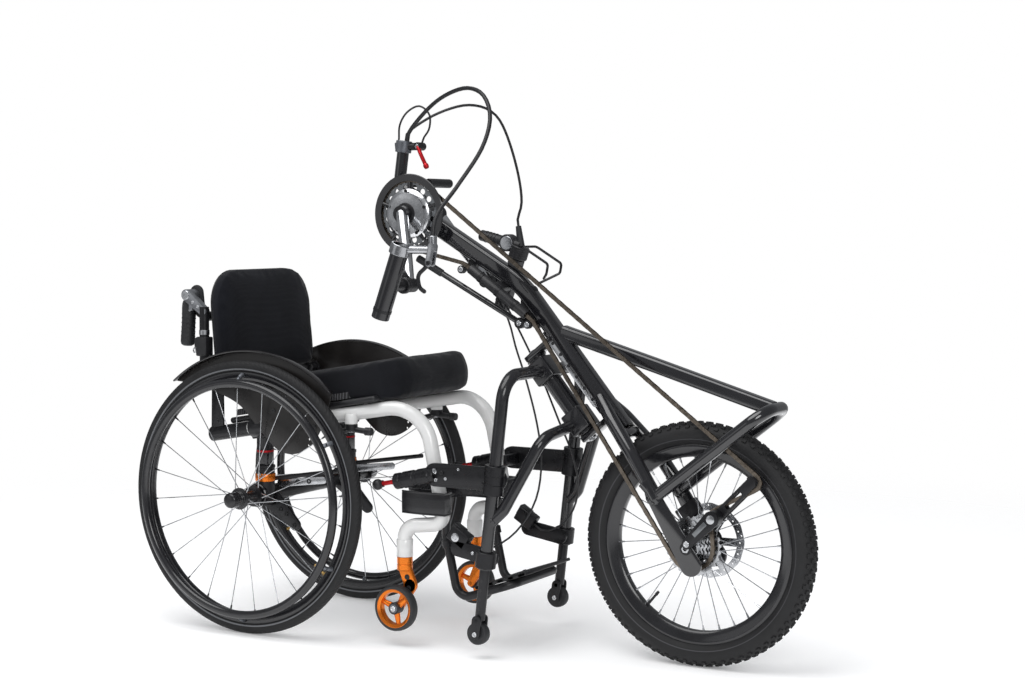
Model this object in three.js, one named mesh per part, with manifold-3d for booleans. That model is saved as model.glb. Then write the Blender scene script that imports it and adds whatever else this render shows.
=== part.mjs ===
// A handcycle: a rigid wheelchair with a hand-cranked front wheel docked to its frame.
// Millimetres. X runs forward, Y to the left, Z up. The floor is at Z zero.
// Pieces are placed from the rear axle; the last group moves the origin below the middle.

import * as THREE from "three";
import { mergeVertices } from "three/addons/utils/BufferGeometryUtils.js";
import Module from "manifold-3d";

const wasm = await Module();
wasm.setup();

// Counts of sides and steps. They set how smooth the faceted solids are.
const wheelSteps = 30;
const hubSteps = 12;
const sprocketSteps = 16;
const casterSteps = 18;
const ringSteps = 20;
const tubeSides = 8;
const thinSides = 8;
const wireSides = 5;
const spokeSides = 3;
const rearTyreSteps = 4;
const frontTyreSteps = 6;
const degreesPerBendStep = 22.5;
const weldShare = 1e-4;
const flatness = 0.05;

// Clearances and overlaps shared by all pieces.
const seatClearance = 0.4;
const runningClearance = 0.6;
const overrun = 2;

// Track, wheelbase and tyres.
const wheelbase = 996;
const seatWidth = 372;
const wheelRoom = 73;
const track = seatWidth + wheelRoom;
const rearRim = { outer: 279, depth: 17, width: 23, lip: 3 };
const rearTyreHeight = 26;
const rearTyreRadius = rearRim.outer + rearTyreHeight;
const rearTyreWidth = 25.7;
const frontTyreRadius = 256;
const frontTyreWidth = 56;

// Rear wheels.
const rearHub = { radius: 16, flange: 24, flangeThickness: 4, flangeSpread: 50, inner: 30, outer: 40 };
const rearCap = { radius: 17, dome: 12, length: 25 };
const rearPin = { radius: 6, length: 60 };
const rearSpokes = { count: 24, radius: 1.3, cross: 32 };
const handrimStep = 22;
const handrim = { radius: rearRim.outer - handrimStep, tube: 9.5, offset: 36, tabs: 6, tabRadius: 5 };

// Front wheel, its sprockets and its brake disc.
const frontRim = { outer: 206, depth: 24, width: 34, lip: 4 };
const frontHub = {
  radius: 17,
  flange: 29,
  flangeThickness: 4,
  flangeSpread: 52,
  width: 126,
  axle: 5,
  axleEnd: 70,
};
const frontSpokes = { count: 32, radius: 1.3, cross: 32 };
const cassette = {
  bore: 17.6,
  radii: [26, 32, 38, 42, 53, 62],
  faces: [-60, -55, -50, -45.6, -38.4, -35, -31.2],
};
const brakeDisc = { radius: 80, thickness: 2, offset: 50, window: 66, arms: 6, armRadius: 2.4 };

// Seat frame tubes, as the height of the tube's centre along the seat.
const seatTubeInset = 2;
const seatTubeY = seatWidth / 2 - seatTubeInset;
const seatTube = { radius: 16, rearX: -120, rearZ: 436, rise: 0.18, y: seatTubeY, sweepX: 110, bend: 90 };
const frontLeg = { y: 137, kneeX: 409, kneeZ: 529, footX: 463, footZ: 272, lowBend: 24 };
const crossTube = { radius: 14, x: 60 };
const casterStem = { x: 370, y: 150, z: 262, bend: 30, socketTop: 196 };

// Rear axle tube and the columns that clamp it to the seat tubes.
const axleTube = { radius: 18, end: 191 };
const columnInset = 21;
const column = { x: 8, y: seatTubeY - columnInset, radius: 21, base: 22 };
const axlePlate = { thickness: 8, reach: 78, drop: 66, width: 26 };

// Seat, cushions and guards.
const seatPanInset = 5;
const seatPan = { thickness: 14, width: seatWidth - 2 * seatPanInset, rearX: -84, frontX: 318 };
const seatCushion = { rearX: -88, frontX: 352, width: seatWidth, thickness: 76, crown: 10, corner: 44 };
const guardGap = 19;
const guard = { thickness: 3, radius: rearTyreRadius + guardGap, lip: 15, rearAngle: 130, frontAngle: 48 };
const guardShares = [
  [0.93, 0.16],
  [0.86, 0.04],
  [0.76, -0.02],
  [0.66, 0],
  [0.55, 0.12],
  [0.4, 0.3],
  [0.1, 0.42],
];

// Shape of a crowned pad, as shares of its outline and of its thickness.
const padShares = [
  [0.93, 0],
  [0.99, 0.2],
  [1, 0.5],
  [0.98, 0.85],
  [0.93, 1],
];

// Backrest with its canes, cushion and folding push handles.
const backHingeOffset = 2;
const backHingeY = seatTubeY + backHingeOffset;
const backHinge = { x: -104, z: 562, y: backHingeY, plate: 6, plateWidth: 30 };
const cane = { x: -158, y: 168, radius: 11, topZ: 722, bend: 24, crossZ: 700 };
const backCushion = { width: 344, bottomZ: 588, topZ: 810, thickness: 46, corner: 70, crown: 8 };
const pushHinge = { x: -205, z: 748, radius: 13, width: 26 };
const pushGrip = { length: 104, thickness: 27 };
const pushArm = { width: 20, thickness: 17 };

// Footrest and calf strap.
const footTube = {
  radius: 9.5,
  y: 104,
  topX: 446,
  topZ: 244,
  lowX: 478,
  lowZ: 104,
  frontX: 610,
  frontZ: 150,
  claspZ: 290,
};
const footPlate = { thickness: 7, width: 186, rearX: 514, length: 132, slots: 4, slotWidth: 10 };
const strap = { height: 50, thickness: 4, z: 316, backX: 350, corner: 34, steps: 3 };

// Casters. They hang clear of the floor while the front drive is docked.
const caster = { radius: 50, width: 24, x: 360, y: 169, z: 85, socketRadius: 17, arm: 9, armWidth: 30 };
const casterRim = { radius: 38, hub: 13, spokes: 3, spokeRadius: 6 };

// Wheel locks under the seat.
const wheelLock = { x: 250, z: 472, y: 178, tube: 7, boss: 14, knob: 9, length: 72, shoe: 26 };

// Head bearing of the docking frame. The boom's lower run is parallel to it.
const head = { x: 632, z: 600, radius: 20, top: 34, bottom: 166 };
const headSlope = { x: 0.639, z: -0.769 };
const headBlock = { width: 56, height: 52, depth: 48, spacing: 134 };

// Docking frame tubes.
const dockTube = { radius: 13.5, legY: 178, kneeX: 631, kneeZ: 600, bend: 52, footX: 586, footZ: 192 };
const dockBrace = { kneeX: 694, kneeY: 126, kneeZ: 470, joinZ: 304, bend: 44 };

// Telescopic stand legs with rollers. The right one is drawn out further.
const standLeg = { radius: 11, top: 60, bore: 170, rollerRadius: 24, rollerWidth: 22, fork: 5 };
const standDrop = { right: 138, left: 122 };

// Clamps that hold the wheelchair's front legs.
const clamp = { upperZ: 382, lowerZ: 213, height: 62, arm: 50, lowHeight: 34, collar: 22, plate: 10 };
const jaw = { radius: 18, length: 98, bite: 2, rod: 5, rodLength: 42, ball: 12, slope: 0.22 };
const lowerJaw = { length: 48, height: 34, width: 26, x: 508, z: 250, rise: -0.62, lift: 24 };

// Main boom, steering yoke and crank bearing.
const crank = { x: 315, z: 935, pinX: 392, pinZ: 783, pinY: 166 };
const boom = { height: 38, width: 32, corner: 9, kneeX: 574, kneeZ: 784, endX: 822, endZ: 486, bend: 210 };
const bearing = { radius: 27, width: 60 };
const yoke = { width: 36, thickness: 13, reach: 66 };
const rail = { length: 150, width: 24, thickness: 8, start: -64 };

// Fork and dropouts.
const blade = { radius: 15, y: 67, lowX: 928, lowZ: 352, bend: 90, crossRadius: 12 };
const bladeRoute = [[768, 6, 548], [806, 34, 509], [868, 58, 438]];
const dropout = { thickness: 8, width: 46, endX: 1006, endZ: 222, bore: 6 };

// Bow around the front wheel.
const bow = { radius: 13, y: 65, tipX: 1160, tipZ: 545, bend: 44, rise: 0.8, startX: 912 };
const topTube = { height: 30, width: 30, startX: 676, startZ: 684, corner: 8 };

// Chainset, chain and derailleur.
const chainLine = 42;
const chain = { height: 9, width: 6.4, ring: 74, sprocket: 48, pulley: 17, idler: 14 };
const lowIdler = { x: 612, z: 700, armX: 598 };
const highIdler = { x: 448, z: 815, armX: 462 };
const idlers = [lowIdler, highIdler];
const idlerPin = { radius: 5, width: 12 };
const chainTube = { radius: 11, share: 0.84, strap: 22 };
const ringSet = { guard: 88, guardThickness: 3, guardY: 47, ring: 68, ringThickness: 3, disc: 55, discY: 63 };
const spindle = { radius: 11, outer: 86 };
const crankArm = { radius: 12, endRadius: 15, pinLength: 30, boss: 22 };
const mech = { x: 1054, z: 322, pulleyX: 1128, pulleyZ: 398, knuckle: 17, plate: 3, gap: 9, arm: 11 };
const caliper = { length: 54, height: 34, width: 21, slot: 6, angle: 128, radius: 74 };

// Hand grips with the brake lever on the right and the shifter on the left.
const grip = { y: 259, lowX: 377, lowZ: 716, topX: 428, topZ: 861, radius: 19, wall: 3, bore: 70, stub: 12 };
const brakeBody = { x: 506, z: 868, radius: 9, length: 44, band: 23, bandHeight: 22, bridge: 8 };
const brakeBlade = { radius: 4.5, pivotX: 500, pivotZ: 834, length: 52, hub: 6, cheek: 4, cheekRadius: 7.5 };
const shifter = { x: 396, z: 869, radius: 20, width: 26, gripShare: 0.86, barRadius: 13 };
const shifterBar = { x: 322, z: 886 };
const shifterBoot = { x: 421, z: 908, radius: 9 };

// Cable mast above the crank bearing, its lever and the side bar.
const mast = {
  baseX: 260,
  baseZ: 1000,
  topX: 273,
  topZ: 1097,
  radius: 15,
  foot: 11,
  clamp: 18,
  clampHeight: 26,
};
const sideBar = { x: 342, z: 1003, radius: 10, length: 80 };
const perch = { x: 316, z: 1084, radius: 9, width: 20 };
const parkLever = { tipX: 340, tipZ: 1040, radius: 4.5, knob: 6 };

// Lever bar under the boom and bottle cage above it.
const leverBar = {
  radius: 6.5,
  tipX: 328,
  tipZ: 836,
  pivotX: 584,
  pivotZ: 702,
  y: 26,
  boss: 12,
  bracket: 10,
};
const cage = { wire: 2.8, width: 62, place: 274, bend: 3 };

// Corners of the bottle cage's wire as shares of its width: along the boom, away from it, sideways.
const cageShares = [
  [-0.4, 0, 0],
  [0.95, 0, 0],
  [1.27, 0.6, 0.5],
  [1.15, 0.92, 0.5],
  [0, 0.92, 0.5],
  [0, 0.92, -0.5],
  [1.15, 0.92, -0.5],
  [1.27, 0.6, -0.5],
];
const cageEndShares = [1.1, 0.3];

// Shares of a size where one form follows another.
const shortBendShare = 0.49;
const casterFaceShare = 0.8;
const shoulderShare = 0.93;
const chainBoreShare = 0.62;
const armHubShare = 0.8;
const armRootShare = 1.25;
const armTipShare = 0.9;
const guardPlateShare = 0.8;
const innerTubeShare = 0.9;
const capShare = 1.15;
const capPlaceShare = 0.05;
const bladeKneeShare = 0.6;
const bladeHookShare = 0.25;
const bladeReachShare = 1.15;

// Cable radii.
const cableRadius = 3;
const sleeveRadius = 4.5;
const thinCableRadius = 2.2;

// Colours as they read in plain light.
const paint = {
  blackMetal: { color: 0x17181b, roughness: 0.35, metalness: 0.4 },
  whiteMetal: { color: 0xe9e9e7, roughness: 0.25, metalness: 0.1 },
  orangeMetal: { color: 0xe87414, roughness: 0.3, metalness: 0.7 },
  silverMetal: { color: 0xb9bcc0, roughness: 0.3, metalness: 0.9 },
  rubber: { color: 0x1c1d1f, roughness: 0.85, metalness: 0 },
  fabric: { color: 0x101216, roughness: 0.95, metalness: 0 },
  plastic: { color: 0x141518, roughness: 0.5, metalness: 0 },
  red: { color: 0xd8232a, roughness: 0.35, metalness: 0.2 },
};

const V = (x, y, z) => new THREE.Vector3(x, y, z);
const turn = 2 * Math.PI;
const sides = [["right", -1], ["left", 1]];

// The radius of a faceted bore that leaves the seat clearance around a round bar.
const boreAround = (radius, steps = tubeSides) => (radius + seatClearance) / Math.cos(turn / (2 * steps));

// A closed geometry as a solid that can be joined and cut.
function solid(geometry) {
  const plain = geometry.index ? geometry.toNonIndexed() : geometry.clone();
  plain.deleteAttribute("normal");
  plain.deleteAttribute("uv");
  plain.computeBoundingSphere();
  const merged = mergeVertices(plain, weldShare * plain.boundingSphere.radius);
  return new wasm.Manifold(
    new wasm.Mesh({
      numProp: 3,
      vertProperties: merged.attributes.position.array,
      triVerts: new Uint32Array(merged.index.array),
    }),
  );
}

function join(...solids) {
  return solids.reduce((whole, next) => whole.add(next));
}

function geometryOf(body) {
  const made = body.getMesh();
  const geometry = new THREE.BufferGeometry();
  geometry.setAttribute("position", new THREE.BufferAttribute(made.vertProperties, 3));
  geometry.setIndex(new THREE.BufferAttribute(made.triVerts, 1));
  geometry.computeVertexNormals();
  return geometry;
}

// Named meshes, collected in the order in which the object goes together.
const pieces = new THREE.Group();

function piece(name, body, finish) {
  const clean = body.asOriginal().simplify(flatness);
  const mesh = new THREE.Mesh(geometryOf(clean), new THREE.MeshStandardMaterial(finish));
  mesh.name = name;
  pieces.add(mesh);
}

// A round bar or cone from one point to another.
function bar(from, to, radius, steps = tubeSides, endRadius = radius) {
  const along = to.clone().sub(from);
  const geometry = new THREE.CylinderGeometry(endRadius, radius, along.length(), steps);
  geometry.applyQuaternion(new THREE.Quaternion().setFromUnitVectors(V(0, 1, 0), along.normalize()));
  const middle = from.clone().add(to).multiplyScalar(1 / 2);
  return solid(geometry.translate(middle.x, middle.y, middle.z));
}

function ball(centre, radius, steps = tubeSides) {
  const geometry = new THREE.SphereGeometry(radius, steps, steps / 2);
  return solid(geometry.translate(centre.x, centre.y, centre.z));
}

// A block, tilted about Y by the angle whose tangent is rise.
function block(centre, size, rise = 0) {
  const geometry = new THREE.BoxGeometry(size.x, size.y, size.z);
  geometry.rotateY(-Math.atan(rise));
  return solid(geometry.translate(centre.x, centre.y, centre.z));
}

// A shape turned about Y. The profile holds radius and distance along Y, and runs
// upwards on its outer side. A side of -1 mirrors it to the right wheel.
function turned(profile, centre, side = 1, steps = wheelSteps) {
  const points = profile.map(([radius, along]) => new THREE.Vector2(radius, along * side));
  if (side < 0) points.reverse();
  const geometry = new THREE.LatheGeometry(points, steps);
  return solid(geometry.translate(centre.x, centre.y, centre.z));
}

// A ring of round section about Y.
function roundRing(radius, tube, centre, steps = wheelSteps, sectionSides = wireSides) {
  const profile = [];
  for (let i = 0; i <= sectionSides; i++) {
    const angle = (turn * i) / sectionSides;
    profile.push([radius + tube * Math.cos(angle), tube * Math.sin(angle)]);
  }
  profile[sectionSides] = profile[0];
  return turned(profile, centre, 1, steps);
}

// A flat plate in the XZ plane between two values of Y.
function plate(outline, yFrom, yTo, holes = []) {
  const shape = new THREE.Shape(outline.map(([x, z]) => new THREE.Vector2(x, z)));
  for (const hole of holes) shape.holes.push(new THREE.Path(hole.map(([x, z]) => new THREE.Vector2(x, z))));
  const geometry = new THREE.ExtrudeGeometry(shape, { depth: yTo - yFrom, bevelEnabled: false });
  geometry.rotateX(turn / 4);
  return solid(geometry.translate(0, yTo, 0));
}

// Points of a circle in the XZ plane.
function circle(x, z, radius, steps) {
  const points = [];
  for (let i = 0; i < steps; i++) {
    const angle = (turn * i) / steps;
    points.push([x + radius * Math.cos(angle), z + radius * Math.sin(angle)]);
  }
  return points;
}

// A straight plate with round ends, between two points of the XZ plane.
function link(from, to, radius, yFrom, yTo, endRadius = radius, steps = hubSteps) {
  const angle = Math.atan2(to[1] - from[1], to[0] - from[0]);
  const outline = [];
  for (let i = 0; i <= steps / 2; i++) {
    const around = angle + turn / 4 + (turn * i) / steps;
    outline.push([from[0] + radius * Math.cos(around), from[1] + radius * Math.sin(around)]);
  }
  for (let i = 0; i <= steps / 2; i++) {
    const around = angle - turn / 4 + (turn * i) / steps;
    outline.push([to[0] + endRadius * Math.cos(around), to[1] + endRadius * Math.sin(around)]);
  }
  return plate(outline, yFrom, yTo);
}

// A route through stations, each with its own direction, for a section to follow.
class Route extends THREE.Curve {
  constructor(stations) {
    super();
    this.stations = stations;
  }
  mix(share, key) {
    const place = share * (this.stations.length - 1);
    const low = Math.min(Math.floor(place), this.stations.length - 2);
    return this.stations[low][key].clone().lerp(this.stations[low + 1][key], place - low);
  }
  getPoint(share) {
    return this.mix(share, "at");
  }
  getPointAt(share) {
    return this.mix(share, "at");
  }
  getTangentAt(share) {
    return this.mix(share, "along").normalize();
  }
}

// Stations along straight runs joined by round bends.
function bentRoute(points, bend) {
  const stations = [];
  const last = points.length - 1;
  const start = points[1].clone().sub(points[0]).normalize();
  stations.push({ at: points[0].clone(), along: start });
  for (let i = 1; i < last; i++) {
    const before = points[i].clone().sub(points[i - 1]);
    const after = points[i + 1].clone().sub(points[i]);
    const shorter = Math.min(before.length(), after.length());
    before.normalize();
    after.normalize();
    const angle = before.angleTo(after);
    const wanted = (Array.isArray(bend) ? bend[i - 1] : bend) * Math.tan(angle / 2);
    const reach = Math.min(wanted, shorter * shortBendShare);
    const radius = reach / Math.tan(angle / 2);
    const steps = Math.max(1, Math.round((angle * 360) / turn / degreesPerBendStep));
    const inward = after.clone().sub(before.clone().multiplyScalar(Math.cos(angle))).normalize();
    const centre = points[i].clone().addScaledVector(before, -reach).addScaledVector(inward, radius);
    for (let k = 0; k <= steps; k++) {
      const swing = (angle * k) / steps;
      const at = centre.clone();
      at.addScaledVector(inward, -radius * Math.cos(swing));
      at.addScaledVector(before, radius * Math.sin(swing));
      const along = before.clone().multiplyScalar(Math.cos(swing)).addScaledVector(inward, Math.sin(swing));
      stations.push({ at, along });
    }
  }
  const end = points[last].clone().sub(points[last - 1]).normalize();
  stations.push({ at: points[last].clone(), along: end });
  return new Route(stations);
}

// Stations on one smooth curve through hand-chosen points.
function smoothRoute(points, steps) {
  const curve = new THREE.CatmullRomCurve3(points, false, "centripetal");
  const stations = [];
  for (let i = 0; i <= steps; i++) {
    stations.push({ at: curve.getPointAt(i / steps), along: curve.getTangentAt(i / steps) });
  }
  return new Route(stations);
}

function roundSection(radius, count) {
  return new THREE.Shape(circle(0, 0, radius, count).map(([x, y]) => new THREE.Vector2(x, y)));
}

// A rectangle with round corners, three points to a corner.
function boxSection(width, height, corner) {
  const shape = [];
  for (let i = 0; i < 4; i++) {
    const signX = i === 0 || i === 3 ? 1 : -1;
    const signY = i < 2 ? 1 : -1;
    for (let k = 0; k <= 2; k++) {
      const angle = (turn * (i + k / 2)) / 4;
      const x = signX * (width / 2 - corner) + corner * Math.cos(angle);
      const y = signY * (height / 2 - corner) + corner * Math.sin(angle);
      shape.push(new THREE.Vector2(x, y));
    }
  }
  return new THREE.Shape(shape);
}

function sweep(section, route) {
  const steps = route.stations.length - 1;
  return solid(new THREE.ExtrudeGeometry(section, { steps, extrudePath: route, bevelEnabled: false }));
}

function tube(points, radius, bend, count = tubeSides) {
  return sweep(roundSection(radius, count), bentRoute(points, bend));
}

function cable(points, radius, steps) {
  return sweep(roundSection(radius, wireSides), smoothRoute(points.map((p) => V(...p)), steps));
}

// Rim, crossed spokes and hub shell of a wheel, as one solid.
function spokedWheel(centre, rim, hub, spokes, hubProfile, side) {
  const inner = rim.outer - rim.depth;
  const rimProfile = [
    [inner, -rim.width / 4],
    [rim.outer, -rim.width / 2],
    [rim.outer, rim.width / 2],
    [inner, rim.width / 4],
    [inner, -rim.width / 4],
  ];
  let wheel = turned(rimProfile, centre, side).add(turned(hubProfile, centre, side, hubSteps));
  const swing = (turn * spokes.cross) / 360;
  for (let i = 0; i < spokes.count; i++) {
    const atRim = (turn * (i + 1 / 3)) / spokes.count;
    const atHub = atRim + (Math.floor(i / 2) % 2 ? swing : -swing);
    const y = ((i % 2 ? 1 : -1) * hub.flangeSpread) / 2;
    const flange = hub.flange - hub.flangeThickness;
    const from = V(flange * Math.cos(atHub), y, flange * Math.sin(atHub)).add(centre);
    const reach = inner + rim.lip;
    const to = V(reach * Math.cos(atRim), 0, reach * Math.sin(atRim)).add(centre);
    wheel = wheel.add(bar(from, to, spokes.radius, spokeSides));
  }
  return wheel;
}

// A tyre: round outside, flat where it sits on its rim.
function tyre(radius, width, rim, centre, steps) {
  const base = rim.outer + seatClearance;
  const bulge = (radius - base) / 2;
  const middle = base + bulge;
  const profile = [[base, -rim.width / 2 + rim.lip]];
  for (let i = 0; i <= steps; i++) {
    const angle = turn * (-1 / 3 + (2 / 3) * (i / steps));
    profile.push([middle + bulge * Math.cos(angle), (width / 2) * Math.sin(angle)]);
  }
  profile.push([base, rim.width / 2 - rim.lip]);
  profile.push(profile[0]);
  return turned(profile, centre);
}

const rearCentre = (side) => V(0, (side * track) / 2, rearTyreRadius);
const frontCentre = V(wheelbase, 0, frontTyreRadius);
const tubeHeight = (x) => seatTube.rearZ + seatTube.rise * (x - seatTube.rearX);
const seatTilt = seatTube.rise;

// Rear wheels: spoked wheel with its hub and cap, tyre and handrim on tabs.
for (const [name, side] of sides) {
  const centre = rearCentre(side);
  const half = rearHub.flangeSpread / 2;
  const flange = rearHub.flangeThickness;
  const capStart = rearHub.outer;
  const capEnd = capStart + rearCap.length;
  const hubProfile = [
    [0, -rearHub.inner - rearPin.length],
    [rearPin.radius, -rearHub.inner - rearPin.length],
    [rearPin.radius, -rearHub.inner],
    [rearHub.flange, -half - flange / 2],
    [rearHub.flange, -half + flange / 2],
    [rearHub.radius, -half + flange],
    [rearHub.radius, half - flange],
    [rearHub.flange, half - flange / 2],
    [rearHub.flange, half + flange / 2],
    [rearCap.radius, capStart],
    [rearCap.radius, capEnd - rearCap.dome / 2],
    [rearCap.dome, capEnd],
    [0, capEnd],
  ];
  const wheel = spokedWheel(centre, rearRim, rearHub, rearSpokes, hubProfile, side);
  piece("rear_wheel_" + name, wheel, paint.blackMetal);
  const rearRing = tyre(rearTyreRadius, rearTyreWidth, rearRim, centre, rearTyreSteps);
  piece("rear_tyre_" + name, rearRing, paint.rubber);

  const rimFace = rearRim.width / 2 + seatClearance;
  const ringCentre = centre.clone().add(V(0, side * handrim.offset, 0));
  let ring = roundRing(handrim.radius, handrim.tube, ringCentre);
  for (let i = 0; i < handrim.tabs; i++) {
    const angle = (turn * (i + 1 / 2)) / handrim.tabs;
    const spot = V(Math.cos(angle), 0, Math.sin(angle)).multiplyScalar(rearRim.outer - handrim.tabRadius);
    const onRim = centre.clone().add(spot).add(V(0, side * rimFace, 0));
    const onRing = ringCentre.clone().addScaledVector(spot, handrim.radius / spot.length());
    ring = ring.add(bar(onRim, onRing, handrim.tabRadius, thinSides / 2));
  }
  piece("handrim_" + name, ring, paint.blackMetal);
}

// One bent side tube of the chair: seat, front leg and caster socket. Room widens it
// for the pieces that are cut to sit around it.
function sideTube(side, room = 0) {
  const points = [
    V(seatTube.rearX, side * seatTube.y, seatTube.rearZ),
    V(seatTube.sweepX, side * seatTube.y, tubeHeight(seatTube.sweepX)),
    V(frontLeg.kneeX, side * frontLeg.y, frontLeg.kneeZ),
    V(frontLeg.footX, side * frontLeg.y, frontLeg.footZ),
    V(casterStem.x, side * casterStem.y, casterStem.z),
    V(casterStem.x, side * casterStem.y, casterStem.socketTop),
  ];
  const bends = [seatTube.bend, seatTube.bend, frontLeg.lowBend, casterStem.bend];
  return tube(points, seatTube.radius + room, bends);
}

// Chair frame: two side tubes joined by tubes below the seat, with ears for the
// backrest and bosses for the wheel locks.
function chairFrame() {
  const parts = [];
  for (const [, side] of sides) {
    parts.push(sideTube(side));
    const lockTop = V(wheelLock.x, side * wheelLock.y, tubeHeight(wheelLock.x));
    const lockFace = V(wheelLock.x, side * wheelLock.y, wheelLock.z + wheelLock.tube + seatClearance);
    parts.push(bar(lockTop, lockFace, wheelLock.boss));
    const ear = backHinge.plateWidth;
    const hingeY = side * backHinge.y;
    parts.push(
      link(
        [backHinge.x, backHinge.z],
        [backHinge.x, tubeHeight(backHinge.x)],
        ear / 2,
        Math.min(hingeY, hingeY + side * backHinge.plate),
        Math.max(hingeY, hingeY + side * backHinge.plate),
      ),
    );
    parts.push(bar(
      V(backHinge.x, side * (cane.y - backHinge.plate), tubeHeight(backHinge.x)),
      V(backHinge.x, hingeY + side * backHinge.plate, tubeHeight(backHinge.x)),
      ear / 2,
    ));
  }
  const low = tubeHeight(crossTube.x);
  const half = seatTube.y;
  parts.push(tube([V(crossTube.x, -half, low), V(crossTube.x, half, low)], crossTube.radius, 0));
  const rear = tubeHeight(backHinge.x);
  parts.push(tube([V(backHinge.x, -half, rear), V(backHinge.x, half, rear)], crossTube.radius, 0));
  return join(...parts);
}

piece("chair_frame", chairFrame(), paint.whiteMetal);

// Axle carrier: axle tube, two columns up to clamps around the seat tubes, and plates.
function axleCarrier() {
  const axle = V(0, 0, rearTyreRadius);
  const parts = [bar(V(0, -axleTube.end, axle.z), V(0, axleTube.end, axle.z), axleTube.radius)];
  for (const [, side] of sides) {
    const y = side * column.y;
    const foot = V(column.x, y, axle.z - column.base);
    parts.push(bar(foot, V(column.x, y, tubeHeight(column.x)), column.radius));
    const tip = [axlePlate.reach, axle.z - axlePlate.drop];
    const inner = y - side * (column.radius - axlePlate.thickness);
    const outer = inner - side * axlePlate.thickness;
    const faces = [Math.min(inner, outer), Math.max(inner, outer)];
    parts.push(link([0, axle.z], tip, axlePlate.width, faces[0], faces[1], axlePlate.width / 2));
  }
  let carrier = join(...parts);
  for (const [, side] of sides) {
    const from = V(0, side * (axleTube.end - rearPin.length - overrun), axle.z);
    const to = V(0, side * (axleTube.end + overrun), axle.z);
    carrier = carrier.subtract(bar(from, to, boreAround(rearPin.radius)));
    carrier = carrier.subtract(sideTube(side, seatClearance));
  }
  return carrier;
}

piece("axle_carrier", axleCarrier(), paint.blackMetal);

// Seat pan on the tubes, and the cushion on the pan.
const panLift = seatTube.radius + seatClearance + seatPan.thickness / 2;
const cushionLift = panLift + seatPan.thickness / 2 + seatClearance;

function seatPart() {
  const x = (seatPan.rearX + seatPan.frontX) / 2;
  const size = V(seatPan.frontX - seatPan.rearX, seatPan.width, seatPan.thickness);
  return block(V(x, 0, tubeHeight(x) + panLift), size, seatTilt);
}

piece("seat_pan", seatPart(), paint.plastic);

// A crowned pad: layers of a rounded outline, drawn in at the edges and corners.
function pad(length, width, thickness, corner, crown, place) {
  const steps = 5;
  const layers = padShares;
  const outline = [];
  for (let i = 0; i < 4; i++) {
    const signX = i === 0 || i === 3 ? 1 : -1;
    const signY = i < 2 ? 1 : -1;
    for (let k = 0; k <= steps; k++) {
      const angle = (turn * (i + k / steps)) / 4;
      const x = signX * (length / 2 - corner) + corner * Math.cos(angle);
      const y = signY * (width / 2 - corner) + corner * Math.sin(angle);
      outline.push([x, y]);
    }
  }
  const count = outline.length;
  const positions = [0, 0, 0];
  for (const [share, level] of layers) {
    for (const [x, y] of outline) {
      const shrink = (1 - share) * Math.min(length, width);
      const factorX = (length - shrink) / length;
      const factorY = (width - shrink) / width;
      positions.push(x * factorX, y * factorY, level * thickness);
    }
  }
  const ringsInside = [0.6, 0.25];
  for (const share of ringsInside) {
    for (const [x, y] of outline) {
      positions.push(x * share, y * share, thickness + crown * (1 - share * share));
    }
  }
  positions.push(0, 0, thickness + crown);
  const rings = layers.length + ringsInside.length;
  const index = [];
  for (let i = 0; i < count; i++) {
    const next = (i + 1) % count;
    index.push(0, 1 + next, 1 + i);
    for (let ring = 0; ring < rings - 1; ring++) {
      const a = 1 + ring * count + i;
      const b = 1 + ring * count + next;
      index.push(a, b, b + count, a, b + count, a + count);
    }
    const top = 1 + (rings - 1) * count;
    index.push(top + i, top + next, top + count);
  }
  const geometry = new THREE.BufferGeometry();
  geometry.setAttribute("position", new THREE.Float32BufferAttribute(positions, 3));
  geometry.setIndex(index);
  place(geometry);
  return solid(geometry);
}

function seatPad() {
  const length = seatCushion.frontX - seatCushion.rearX;
  const middle = (seatCushion.frontX + seatCushion.rearX) / 2;
  const { width, thickness, corner, crown } = seatCushion;
  return pad(length, width, thickness - crown, corner, crown, (geometry) => {
    geometry.rotateY(-Math.atan(seatTilt));
    const lift = cushionLift / Math.cos(Math.atan(seatTilt));
    geometry.translate(middle, 0, tubeHeight(middle) + lift);
  });
}

piece("seat_cushion", seatPad(), paint.fabric);

// Side guards between wheel and seat, with a lip over the tyre.
for (const [name, side] of sides) {
  const centre = rearCentre(side);
  const inner = side * (seatTube.y + seatTube.radius + seatClearance);
  const outer = inner + side * guard.thickness;
  const outline = [];
  const arcSteps = 16;
  const span = guard.rearAngle - guard.frontAngle;
  for (let i = 0; i <= arcSteps; i++) {
    const angle = (turn * (guard.rearAngle - (span * i) / arcSteps)) / 360;
    outline.push([guard.radius * Math.cos(angle), centre.z + guard.radius * Math.sin(angle)]);
  }
  const front = outline[arcSteps];
  const rear = outline[0];
  const heightSpan = guard.radius;
  const base = centre.z + guard.radius / 3;
  for (const [along, up] of guardShares) {
    outline.push([rear[0] + (front[0] - rear[0]) * along, base + heightSpan * up]);
  }
  outline.reverse();
  const panel = plate(outline, Math.min(inner, outer), Math.max(inner, outer));
  const lipOutline = [];
  for (const radius of [guard.radius, guard.radius + guard.thickness]) {
    const arc = [];
    for (let i = 0; i <= arcSteps; i++) {
      const angle = (turn * (guard.frontAngle + (span * i) / arcSteps)) / 360;
      arc.push([radius * Math.cos(angle), centre.z + radius * Math.sin(angle)]);
    }
    lipOutline.push(...(radius === guard.radius ? arc.reverse() : arc));
  }
  const lipEnd = inner + side * guard.lip;
  const lip = plate(lipOutline, Math.min(inner, lipEnd), Math.max(inner, lipEnd));
  piece("side_guard_" + name, panel.add(lip), paint.plastic);
}

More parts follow.
